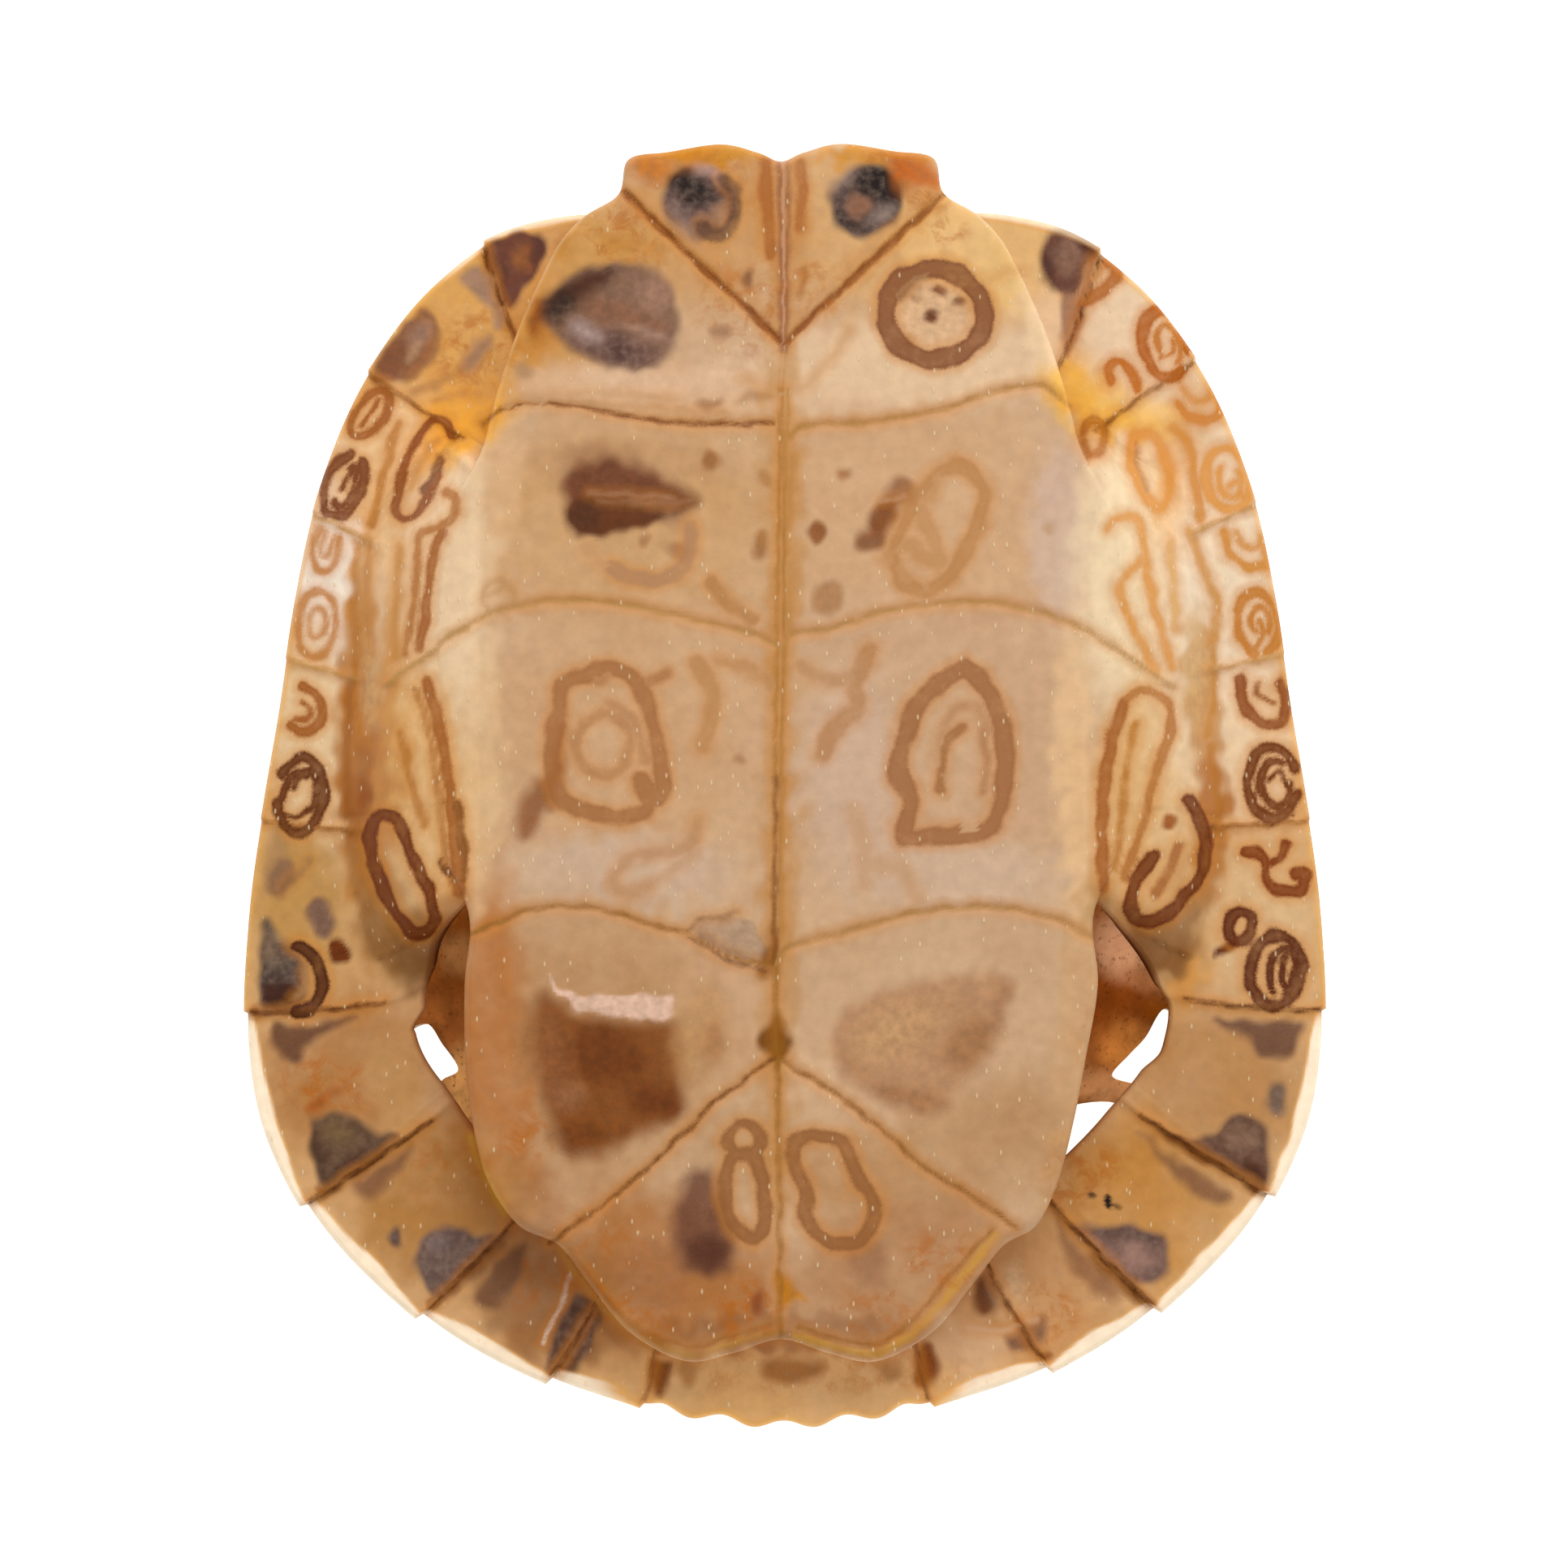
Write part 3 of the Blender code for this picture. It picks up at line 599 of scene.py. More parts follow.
def dome_relief(points, share):
    """Grooves at the seams, growth rings beside them that fade towards each plate's middle, soft lumps."""
    x, y = points[..., 0], points[..., 1]
    edge = (FLANK_EDGE - share) * 48.0
    near = np.minimum(dome_seam_distance(x, y), edge)
    near = near + 0.25 * lumps(x, y, 7.0, 5)
    groove = -0.45 * hump(near, 0.55) + 0.12 * hump(near - 1.2, 0.6)
    rings = 0.07 * np.cos(2 * np.pi * near / 1.15) * ease(8.0, 1.5, near)
    return (groove + rings + 0.08 * lumps(x, y, 6.0, 8)) * ease(0.1, 1.0, points[..., 2])


dome_grid = dome_point(out * FLANK_EDGE, turn)
dome_grid = dome_grid - outward(dome_grid) * dome_relief(dome_grid, out * FLANK_EDGE)[..., None]
edge = edge_points(ACROSS, ALONG)
edge_turn = turn.reshape(-1)[edge]


def inside_point(share, turn):
    """Point on the inside of the dome, with the backbone's ridge and a low ridge for each rib."""
    low, high = dome_point(share - 0.002, turn), dome_point(share + 0.002, turn)
    along = high - low
    heading = np.radians(turn)
    slope = along[..., 2] / (along[..., 0] * np.sin(heading) + along[..., 1] * np.cos(heading))
    size = np.hypot(slope, 1)
    point = (low + high) / 2
    inwards = DOME_WALL * slope / size
    point = point + polar(-inwards, turn, DOME_WALL / size)
    x, y = point[..., 0], point[..., 1]
    rib_wave = np.cos(2 * np.pi * (y + 0.06 * np.abs(x)) / 9.4)
    ribs = 0.35 * ease(0.2, 0.9, rib_wave) * ease(4.0, 9.0, np.abs(x))
    point[..., 2] += SPINE * hump(x, 2.0) + ribs + 0.12 * lumps(x, y, 3.0, 11)
    return point


rings = [inside_point(share, edge_turn) for share in np.linspace(0.806, 0.06, 34)]
points, faces = cap_mesh(dome_grid, rings, (0, 0, DOME_WALL + SPINE - REST_CUT), upwards=False)
dome_piece = make_piece("back_and_flank_plates", points, faces)

# %% [markdown]
# ## The plastron
#
# The flat lower shell is what the picture shows: six pairs of horn plates with a wavy groove between each
# pair and the next. It is a cap again, stretched over the plate's outline. Its upper side bends down at
# the bridges and melts into them. A subdivided cage could do this too, but its edge would have to be
# fitted by hand.

# %% The plastron's outline
half = np.array(PLASTRON_OUTLINE)
rear = ease(-17.0, -24.0, half[:, 1]) * ease(-36.0, -33.0, half[:, 1])
left_half = (half + np.outer(rear, (0.45, 0.0))) * (-1, 1)
right_half = half - np.outer(rear, (0.85, 0.0))
outline = rounded(np.concatenate([left_half, right_half[-2:0:-1]])[::-1], True, 24)[:-1]
corners = ((-12.2, 50.0), (12.2, 50.0), (16.6, -37.6), (-16.6, -37.6))
starts = [int(np.argmin(np.hypot(*(outline - corner).T))) for corner in corners]
print("outline starts:", starts)


def outline_at(place):
    """Point of the outline at a place from 0 to 8: each side of the square takes one side of the plate."""
    result = np.zeros(place.shape + (2,))
    for side in range(4):
        first, last = starts[side], starts[(side + 1) % 4]
        count = (last - first) % len(outline)
        line = outline[(first + np.arange(count + 1)) % len(outline)]
        length = np.concatenate([[0], np.cumsum(np.hypot(*np.diff(line, axis=0).T))])
        here = (place >= 2 * side) & (place <= 2 * side + 2)
        at = (place[here] - 2 * side) / 2 * length[-1]
        result[here] = np.stack([np.interp(at, length, line[:, 0]), np.interp(at, length, line[:, 1])], -1)
    return result


# %% The plastron's surfaces
ACROSS, ALONG = 232, 372
out, place = square_cells(ACROSS, ALONG)
border = outline_at(place)
middle = np.array((0, PLASTRON_MIDDLE))
plate_xy = middle + out[..., None] * (border - middle)


def bend(x, y):
    """How far the plate has bent down, in mm, at the bridges: the square of the way beyond 21.5 mm."""
    return 0.08 * np.maximum(np.abs(x) - 21.5, 0) ** 2 * ease(-13.0, -3.0, y) * ease(30.0, 20.0, y)


def plate_top(x, y):
    """Flat in the middle, bent down towards the bridges, and rounded into them where the two surfaces meet.

    The rounding adds h^2 k / 4 to the higher one, where h goes from 1 where they meet to 0 at a gap of k.
    """
    flat = HEIGHT - bend(x, y)
    turn = turn_of(x, y)
    inward = rim_radius(turn) - np.hypot(x, y)
    bridge = lip_height(np.maximum(inward, 0), turn) + 0.03 - 3.0 * ease(25.0, 22.6, np.abs(x))
    bridge = np.where(inward < rim_radius(turn) - lip_inner(turn), bridge, flat - 5.0)
    meet = 1.4
    near = np.maximum(meet - np.abs(flat - bridge), 0) / meet
    return np.maximum(flat, bridge) + near**2 * meet / 4


plate_grid = np.concatenate([plate_xy, plate_top(plate_xy[..., 0], plate_xy[..., 1])[..., None]], -1)
from_edge = (1 - out) * np.hypot(*np.moveaxis(border - middle, -1, 0))
plate_grid[..., 2] += upper_relief(plate_grid)
bridge_side = ease(-12.0, -6.0, plate_grid[..., 1]) * ease(29.0, 24.0, plate_grid[..., 1])
plate_grid[..., 2] -= 0.55 * ease(0.7, 0.0, from_edge) ** 2 * (1 - bridge_side)
plate_grid[..., 2] -= 0.5 * ease(0.4, 0.0, from_edge) * bridge_side

edge = edge_points(ACROSS, ALONG)
border_line = border.reshape(-1, 2)[edge]


def under_ring(share, depth):
    """Ring of the plastron's edge or underside, at a share of the way out and a depth below the flat."""
    xy = middle + share * (border_line - middle)
    return np.column_stack([xy, HEIGHT - bend(*xy.T) - depth])


rings = [under_ring(1.003, 0.95), under_ring(1.0, 1.4)]
rings += [under_ring(share, PLATE_WALL) for share in (0.985, 0.9, 0.75, 0.5, 0.25)]
points, faces = cap_mesh(plate_grid, rings, (0, PLASTRON_MIDDLE, HEIGHT - PLATE_WALL), upwards=True)
plastron_piece = make_piece("plastron_plates", points, faces)

# %% [markdown]
# ## The gaps and the props
#
# A young shell has gaps in its bone behind the rim, and light comes through them: one on the left, and two
# on the right with a rib end between. They are cut out with upright prisms, because holes left open in the
# grid would have its square cells as their edge. Four bony props run from the bridges down to the dome.
# Each is a spindle, since what shows of them is only their smooth middle.

# %% Cutting the gaps
GAPS = (
    ((-30.4, -18.2), (-32.4, -20.0), (-29.8, -23.4), (-28.6, -22.8), (-27.6, -22.0), (-28.9, -20.0)),
    ((31.6, -17.0), (33.4, -19.8), (30.6, -24.0), (28.8, -23.3), (27.1, -22.6), (28.5, -20.9),
     (29.9, -19.4)),
    ((23.4, -25.2), (27.4, -24.9), (28.8, -27.2), (24.6, -31.2), (22.0, -29.6), (21.8, -26.8)),
)
GAP_HEIGHTS = (4.0, 27.8)


def prism(outline, low, high):
    """Points and faces of an upright prism over a rounded outline."""
    line = rounded(outline, True, 6)[:-1]
    if np.sum(line[:, 0] * np.roll(line[:, 1], -1) - np.roll(line[:, 0], -1) * line[:, 1]) < 0:
        line = line[::-1]
    count = len(line)
    points = np.concatenate([np.column_stack([line, np.full(count, z)]) for z in (low, high)])
    around = np.arange(count)
    after = (around + 1) % count
    sides = np.column_stack([around, after, after + count, around + count]).tolist()
    return points, [around[::-1].tolist(), (around + count).tolist()] + sides


for number, gap in enumerate(GAPS):
    points, faces = prism(gap, *GAP_HEIGHTS)
    mesh = bpy.data.meshes.new("gap")
    mesh.from_pydata((points * MM).tolist(), [], faces)
    cutter = bpy.data.objects.new(f"gap_{number}", mesh)
    bpy.context.scene.collection.objects.link(cutter)
    cut = dome_piece.modifiers.new(cutter.name, "BOOLEAN")
    cut.operation, cut.solver, cut.object = "DIFFERENCE", "EXACT", cutter
bpy.context.view_layer.update()
shown = dome_piece.evaluated_get(bpy.context.evaluated_depsgraph_get())
cut_mesh = bpy.data.meshes.new_from_object(shown)
dome_piece.modifiers.clear()
dome_piece.data = cut_mesh
for number in range(len(GAPS)):
    bpy.data.objects.remove(bpy.data.objects[f"gap_{number}"])
print("dome after the cuts:", len(cut_mesh.polygons), "faces")


# %% The props
def spindle(top, bottom, thick, wide):
    """An oval spindle between two points: half widths thick and wide at its middle, pointed at its ends."""
    top, bottom = np.array(top), np.array(bottom)
    along = (top - bottom) / np.linalg.norm(top - bottom)
    across = np.cross((0, 1, 0), along)
    across /= np.linalg.norm(across)
    other = np.cross(along, across)
    way, round_it = np.meshgrid(np.linspace(0.02, 0.98, 25), np.arange(32) * 2 * np.pi / 32, indexing="ij")
    size = np.sqrt(1 - (2 * way - 1) ** 2)[..., None]
    line = bottom + way[..., None] * (top - bottom)
    round_it = round_it[..., None]
    return line + size * (thick * np.cos(round_it) * across + wide * np.sin(round_it) * other)


def closed_tube(points):
    """Faces of a tube of rings with an end face at each end."""
    rows, columns = points.shape[:2]
    faces = [f for f in ring_faces(rows, columns) if max(f) - min(f) < 2 * columns]
    faces.append(list(range(columns))[::-1])
    faces.append(list(range((rows - 1) * columns, rows * columns)))
    return faces


PROPS = {"front": ((26.8, 23, 39), (32.6, 22, 19.5)), "rear": ((27, -8, 39), (33.6, -8.5, 15.5))}
for end, (top, bottom) in PROPS.items():
    for side, word in ((1, "right"), (-1, "left")):
        tube = spindle((side * top[0], *top[1:]), (side * bottom[0], *bottom[1:]), 1.4, 4.0)
        make_piece(f"prop_{end}_{word}", tube.reshape(-1, 3), closed_tube(tube))

# %% [markdown]
# ## The marks on the horn
#
# A young slider's lower shell has dark rings, loops and blotches, each grown in the horn itself. They
# could be painted as an image, but an image blurs close up. They are colour only, so the mesh stays smooth
# under them. Each mark is a short list of points in the picture, read one by one, rounded to a curve, and
# stored on the mesh as a distance in millimetres. The finish draws the edge where the distance passes
# zero, which stays sharp at any size and can be roughened like pigment grains.
#
# Every mark has its colour, then how strongly it covers, from 0 to 1. A filled mark has the softness of
# its edge in millimetres next, and a line its width in the picture's pixels. Washes are broad soft tones
# under the marks.

# %% The kinds of mark
BLOTS, LINES, RIM_LINES, WASHES, RUST = [], [], [], [], []


def oval(x, y, wide, high, tilt=0, start=0, end=360):
    """Points round an ellipse from one angle to another, clockwise from the right."""
    at = np.radians(np.linspace(start, end, 13)[: 12 if end - start == 360 else 13])
    a, b = wide * np.cos(at), high * np.sin(at)
    c, s = np.cos(np.radians(tilt)), np.sin(np.radians(tilt))
    return np.column_stack([x + a * c - b * s, y + a * s + b * c])


def spot(colour, strength, soft, *place):
    """A filled oval at a place: its middle x and y, half widths, and tilt in degrees."""
    BLOTS.append((colour, strength, soft, rounded(oval(*place), True)))


def patch(colour, strength, soft, *points):
    """A filled shape through the points."""
    BLOTS.append((colour, strength, soft, rounded(points, True)))


def ring(colour, strength, width, x, y, wide, high, tilt=0, start=0, end=360):
    """A line round an oval, or along part of it from one angle to another."""
    line = rounded(oval(x, y, wide, high, tilt, start, end), end - start == 360)
    LINES.append((colour, strength, width, line))


def stroke(colour, strength, width, *points):
    """A line through the points."""
    LINES.append((colour, strength, width, rounded(points, False)))


def loop(colour, strength, width, *points):
    """A closed line through the points."""
    LINES.append((colour, strength, width, rounded(points, True)))


# %% Broad tones: colour, strength, and the oval's middle, half widths and tilt
WASHES += [("#CC9254", 0.9, 870, 275, 100, 110), ("#D8A468", 0.9, 1060, 275, 110, 110),
           ("#D09240", 0.85, 700, 345, 110, 120, 25), ("#CF8A3A", 0.75, 640, 420, 36, 100, 22),
           ("#E0B48C", 0.8, 800, 478, 170, 30, 4), ("#EEBC76", 0.85, 1210, 310, 120, 70, 30),
           ("#EAC69E", 0.85, 1130, 450, 190, 56), ("#F4D0A4", 0.85, 1292, 415, 30, 85, -20),
           ("#CE9C66", 0.85, 780, 640, 230, 130), ("#C08E62", 0.5, 775, 570, 130, 30),
           ("#D4A67A", 0.85, 1160, 640, 230, 130), ("#D0A276", 0.85, 780, 920, 230, 180),
           ("#D1B298", 0.7, 770, 1075, 140, 50), ("#CEA47E", 0.85, 1150, 920, 230, 180),
           ("#D2B096", 0.7, 1050, 950, 60, 130), ("#D2B399", 0.6, 1170, 1080, 140, 50),
           ("#BE8C5C", 0.9, 720, 1290, 190, 180), ("#CFA076", 0.7, 920, 1230, 90, 80),
           ("#CEA67E", 0.85, 1150, 1210, 220, 90), ("#BE8E60", 0.85, 1190, 1420, 190, 80, -25),
           ("#DDB389", 0.6, 1000, 1340, 40, 40), ("#B06E32", 0.9, 820, 1570, 160, 100, 20),
           ("#C09468", 0.8, 930, 1420, 70, 60), ("#BA8456", 0.85, 1110, 1560, 140, 90, -20),
           ("#C08C5A", 0.75, 1060, 1440, 80, 50), ("#935A2C", 0.7, 960, 1645, 190, 26),
           ("#C48A48", 0.6, 964, 620, 26, 330), ("#C08644", 0.6, 958, 1180, 26, 330),
           ("#B86C28", 0.75, 602, 1290, 56, 260, -4), ("#A86832", 0.8, 650, 1480, 40, 60, -30),
           ("#D2A270", 0.7, 1334, 1260, 30, 230, 3), ("#E6BC8A", 0.8, 592, 960, 28, 170, 2),
           ("#EABE8C", 0.85, 1325, 950, 28, 180, -2), ("#E2B484", 0.7, 606, 600, 40, 90),
           ("#D4B6A2", 0.7, 1306, 660, 40, 110), ("#F2D0A6", 0.95, 552, 720, 56, 190),
           ("#F6DAB0", 0.95, 1390, 700, 66, 190), ("#E6B67A", 0.95, 520, 960, 60, 150, -8),
           ("#E4B880", 0.95, 1420, 960, 66, 150, 8), ("#FAB030", 0.95, 560, 520, 72, 46, -25),
           ("#F8B830", 0.9, 1345, 485, 62, 46, 25), ("#F6C050", 0.85, 1398, 512, 54, 32, 12),
           ("#EDC08A", 0.8, 470, 700, 22, 90), ("#DA9C50", 0.7, 482, 930, 26, 90),
           ("#D69238", 0.85, 1470, 1196, 20, 62, 25), ("#CC8C42", 0.7, 464, 850, 28, 130),
           # Painted shade: the last wash on the line below and the first on the line after it darken the
           # hollow of the left groin.
           ("#C0792E", 0.8, 460, 990, 28, 130), ("#A46A28", 0.85, 470, 1140, 36, 60),
           ("#8E5A1E", 0.9, 520, 1175, 42, 50), ("#F0B878", 0.8, 1446, 620, 22, 70),
           ("#9A6430", 0.9, 1432, 1168, 54, 34), ("#C09058", 0.7, 1352, 1110, 20, 40),
           ("#D08A18", 0.95, 870, 188, 100, 16), ("#D48A1C", 0.95, 1080, 190, 80, 17),
           ("#C4884E", 0.7, 965, 260, 40, 80)]

# %% Tones of the marginal plates
WASHES += [("#FFF2E0", 0.95, 405, 700, 54, 170, -6), ("#EDCB9C", 0.95, 385, 910, 56, 140, -4),
           ("#F4DCBC", 0.95, 1520, 700, 80, 260, 8), ("#F0CFA6", 0.8, 1548, 930, 60, 90),
           ("#F0D4B0", 0.95, 1410, 410, 80, 100, -35), ("#E6BA78", 0.85, 1262, 300, 60, 70),
           ("#E0A858", 0.85, 560, 400, 90, 110, 40), ("#F0C894", 0.85, 462, 560, 50, 90, 30),
           ("#C49250", 0.95, 365, 1130, 66, 120), ("#DEB582", 0.95, 1556, 1150, 72, 110),
           ("#B67C42", 0.95, 420, 1320, 115, 100, -30), ("#C49052", 0.8, 486, 1340, 36, 60, -20),
           ("#BE8850", 0.95, 1510, 1330, 115, 100, 30), ("#B88040", 0.95, 540, 1490, 110, 100, -40),
           ("#CA8C40", 0.95, 1400, 1480, 110, 100, 40), ("#9C6838", 0.95, 680, 1610, 90, 90, -50),
           ("#CA945E", 0.95, 1280, 1620, 90, 90, 50), ("#D4A87C", 0.85, 1192, 1664, 50, 36),
           ("#D8A86C", 0.95, 960, 1712, 240, 46), ("#DA9C50", 0.75, 448, 715, 18, 90, 3),
           # From here to the end of the list, washes at the foot of each bridge, where it rises from the
           # band: partly the horn's own amber-brown, partly painted shade in the hollow there.
           ("#C2843C", 0.8, 441, 800, 22, 90, 2), ("#AC641C", 0.85, 436, 930, 24, 120),
           ("#964A02", 0.8, 440, 1006, 18, 50), ("#B87428", 0.8, 440, 1070, 20, 50, -10),
           ("#D09C5C", 0.8, 1475, 820, 22, 70), ("#C48642", 0.8, 1486, 900, 22, 70),
           ("#B2682A", 0.85, 1494, 985, 20, 64), ("#C07A34", 0.8, 1488, 1066, 20, 50),
           ("#A46E34", 0.9, 1456, 1134, 18, 40, 30)]

# %% Pigments, as the eye sees them
UMBER, SEPIA, BROWN, RUSSET = "#702E02", "#A45E26", "#B47236", "#DA9240"
FAWN, SAND = "#AE7844", "#B88A5C"

# %% Marks of the plastron, front half
spot("#6A4E46", 1, 0.55, 862, 250, 46, 45, 10)
spot("#1E120E", 0.92, 0.7, 848, 231, 27, 20, 35)
spot("#241814", 0.6, 0.7, 880, 240, 12, 16, -20)
spot("#C09888", 0.85, 0.6, 874, 211, 18, 7, 20)
spot("#8C7468", 0.6, 0.8, 836, 268, 14, 9, 40)
spot("#A8907E", 0.5, 0.7, 846, 285, 16, 6, 20)
spot("#A87C5C", 0.9, 0.5, 887, 264, 10, 14, 10)
stroke("#3E2A26", 0.7, 17, (892, 220), (905, 236), (906, 262), (896, 284), (878, 291), (866, 280))
spot("#5C463E", 1, 0.55, 1066, 248, 44, 43)
spot("#1E120E", 0.95, 0.7, 1084, 228, 28, 22, 20)
spot("#281814", 0.65, 0.7, 1099, 252, 10, 22)
spot("#2C1C18", 0.65, 0.8, 1044, 272, 20, 12, 30)
spot("#906248", 0.9, 0.5, 1058, 254, 15, 14)
spot("#A48C80", 0.75, 0.7, 1088, 264, 16, 7, -40)
spot("#A88C80", 0.5, 0.8, 1036, 222, 14, 6, -45)
spot("#B05E14", 0.65, 0.9, 1113, 222, 12, 24, -20)
spot("#7E4A2A", 0.75, 0.4, 921, 343, 9, 11)
spot(BROWN, 0.7, 0.4, 989, 341, 7, 10)
spot("#84563A", 0.6, 0.5, 887, 409, 12, 9)
stroke("#A2561A", 0.75, 15, (944, 200), (944, 240), (948, 276), (950, 312))
stroke("#A2561A", 0.7, 13, (986, 202), (988, 240), (984, 280))
stroke("#8E4C18", 0.5, 6, (992, 330), (986, 360))
stroke("#8A5844", 0.75, 6, (960, 205), (961, 250), (962, 330), (963, 430))
stroke("#C49680", 0.8, 4, (966, 200), (966, 250), (966, 330), (965, 430))
stroke("#8A5844", 0.7, 5, (972, 205), (972, 250), (970, 330), (967, 430))
spot("#C06C10", 0.75, 0.8, 800, 208, 26, 16, 20)
spot("#C25F12", 0.8, 0.8, 1128, 212, 36, 17, 25)
spot("#CD7A22", 0.5, 0.8, 840, 196, 50, 12, -8)
spot("#BC7424", 0.6, 1.2, 664, 400, 26, 38, 10)
patch("#84604A", 0.92, 0.55, (666, 383), (690, 352), (715, 334), (773, 323), (813, 339), (836, 383),
      (834, 426), (812, 447), (769, 457), (724, 441), (688, 420))
spot("#8C5C40", 0.7, 0.8, 760, 386, 62, 14, 16)
spot("#4A2616", 0.92, 0.8, 716, 352, 46, 13, -24)
spot("#281610", 0.88, 0.8, 690, 378, 24, 14, -30)
spot("#A47A62", 0.8, 0.9, 806, 364, 22, 22, 30)
spot("#6E4C42", 0.85, 0.8, 756, 428, 58, 18, 14)
spot("#523630", 0.7, 0.8, 764, 434, 18, 14, 60)
spot("#B4988E", 0.8, 0.8, 724, 410, 20, 9, 30)
spot("#B8907A", 0.6, 0.5, 800, 411, 34, 4, 22)
spot("#7E3A06", 0.75, 0.7, 661, 392, 9, 22, 10)
spot("#9A7A60", 0.5, 0.6, 646, 458, 14, 10)
spot("#E2BC9C", 0.3, 0.8, 775, 466, 70, 12, 5)
spot("#B87A2C", 0.6, 0.7, 694, 304, 12, 16, 20)
spot("#C07E30", 0.6, 0.7, 760, 298, 26, 9, 15)
spot("#C07E30", 0.5, 0.7, 802, 308, 18, 8, 30)
ring("#86502F", 1, 24, 1151, 387, 61, 56, 10)
stroke("#5E2E1A", 0.6, 16, (1106, 362), (1124, 343), (1152, 333), (1182, 340), (1202, 360), (1212, 386))
spot("#DCB084", 0.8, 0.7, 1150, 386, 46, 42, 10)
spot("#B08258", 0.7, 0.5, 1120, 360, 18, 9, -34)
spot("#B08258", 0.6, 0.5, 1118, 422, 14, 9, 30)
spot("#B88A60", 0.6, 0.5, 1192, 374, 9, 12)
spot("#84502F", 1, 0.3, 1158, 358, 8, 7)
spot("#84502F", 0.9, 0.3, 1182, 372, 8, 6)
spot("#6E3E26", 1, 0.3, 1148, 390, 10, 8)
spot("#966444", 0.7, 0.3, 1130, 370, 5, 4)
spot("#E4C2A0", 0.3, 0.9, 900, 452, 60, 18, -15)
spot("#A2724C", 0.75, 1.6, 744, 580, 50, 30, 15)
patch("#724026", 0.92, 0.8, (694, 606), (706, 578), (750, 566), (796, 578), (850, 606), (862, 622),
      (836, 634), (802, 643), (766, 652), (728, 656), (706, 648))
patch("#663618", 0.9, 0.35, (704, 622), (724, 608), (770, 612), (820, 618), (852, 621), (836, 632),
      (805, 643), (770, 654), (728, 660), (705, 652))
spot("#54301C", 0.7, 0.7, 720, 638, 22, 22)
spot("#94603A", 0.7, 0.6, 812, 622, 36, 8, 8)
stroke("#BC9276", 0.5, 3, (726, 608), (780, 610), (826, 614))
stroke("#BC9276", 0.35, 2, (738, 616), (790, 619), (850, 618))
stroke("#AE805C", 0.78, 17, (850, 648), (852, 676), (840, 700), (816, 714), (780, 712), (754, 700))
stroke("#B88C66", 0.4, 10, (752, 700), (734, 690), (722, 676))
spot("#9E6A40", 0.7, 0.4, 795, 664, 9, 7)
spot("#A87C58", 0.6, 0.6, 832, 640, 14, 9, 20)
spot("#965E36", 0.6, 0.6, 834, 678, 17, 13, 20)
spot("#98602E", 0.8, 0.4, 877, 568, 13, 13)
spot(FAWN, 0.7, 0.4, 943, 590, 7, 12)
spot("#9C642E", 0.75, 0.4, 936, 672, 9, 20, 10)
stroke(FAWN, 0.7, 14, (876, 718), (895, 742), (928, 762))
stroke("#B0762C", 0.5, 9, (976, 560), (974, 600), (970, 650))
stroke("#B0762C", 0.4, 8, (976, 690), (972, 730), (970, 780))
loop("#A8804C", 0.55, 4, (604, 716), (622, 716), (634, 732), (626, 752), (606, 754), (594, 738))
stroke("#A8804C", 0.45, 3, (594, 738), (612, 728), (626, 718))
spot("#96603C", 0.8, 0.5, 1110, 606, 21, 17, -20)
spot("#84491F", 0.9, 0.5, 1088, 636, 15, 26, 28)
spot("#8A5430", 0.85, 0.5, 1072, 666, 20, 14, -20)
stroke("#D0A480", 0.6, 3, (1084, 618), (1114, 612))
loop("#B98450", 0.6, 16, (1132, 622), (1148, 606), (1156, 582), (1187, 575), (1212, 604), (1206, 640),
     (1190, 678), (1164, 716), (1128, 728), (1104, 700), (1096, 684), (1124, 670), (1136, 684), (1160, 690))
loop("#B57E48", 0.75, 17, (1156, 582), (1187, 575), (1212, 604), (1206, 640), (1190, 678), (1164, 716),
     (1128, 728), (1100, 693), (1112, 650), (1136, 608))
spot("#A46A3C", 0.75, 0.4, 1038, 584, 11, 9)
spot("#8E5020", 0.85, 0.35, 1007, 657, 11, 12)
spot("#A67244", 0.7, 0.5, 1021, 737, 18, 21, 20)
spot(SAND, 0.6, 0.4, 1292, 650, 7, 9)
spot("#A0703E", 0.5, 0.5, 930, 488, 24, 8, -8)
spot("#905A32", 0.6, 0.4, 875, 498, 18, 7)

# %% Marks of the plastron, rear half
loop("#9C6236", 0.8, 20, (694, 846), (722, 832), (756, 824), (790, 846), (804, 890), (818, 968), (799, 988),
     (790, 960), (800, 994), (759, 1006), (704, 993), (684, 968), (680, 928), (688, 880))
stroke("#9C6030", 0.65, 14, (796, 845), (820, 830))
stroke("#9C6030", 0.5, 12, (722, 832), (742, 836), (756, 824))
ring("#A67044", 0.6, 12, 744, 918, 34, 37, 10)
stroke("#AA784E", 0.6, 10, (752, 868), (782, 888), (794, 936))
spot("#884C22", 0.75, 0.7, 657, 995, 17, 42, 22)
spot("#9C6030", 0.6, 0.6, 688, 930, 12, 40, 8)
spot("#7C4420", 0.5, 0.6, 684, 972, 11, 30, 12)
stroke("#B07A42", 0.6, 18, (858, 816), (878, 850), (878, 880), (866, 920))
stroke("#B07A42", 0.5, 13, (884, 814), (920, 822), (949, 843))
stroke("#B4865C", 0.6, 12, (860, 1010), (848, 1044), (806, 1052), (776, 1056), (757, 1086), (772, 1100),
       (800, 1092))
stroke("#B4865C", 0.35, 8, (858, 1046), (826, 1074), (790, 1098))
spot("#A06C42", 0.6, 0.4, 911, 934, 6, 6)
patch("#B49274", 0.85, 0.15, (850, 1142), (876, 1130), (908, 1132), (930, 1140), (938, 1160), (944, 1184),
      (906, 1178))
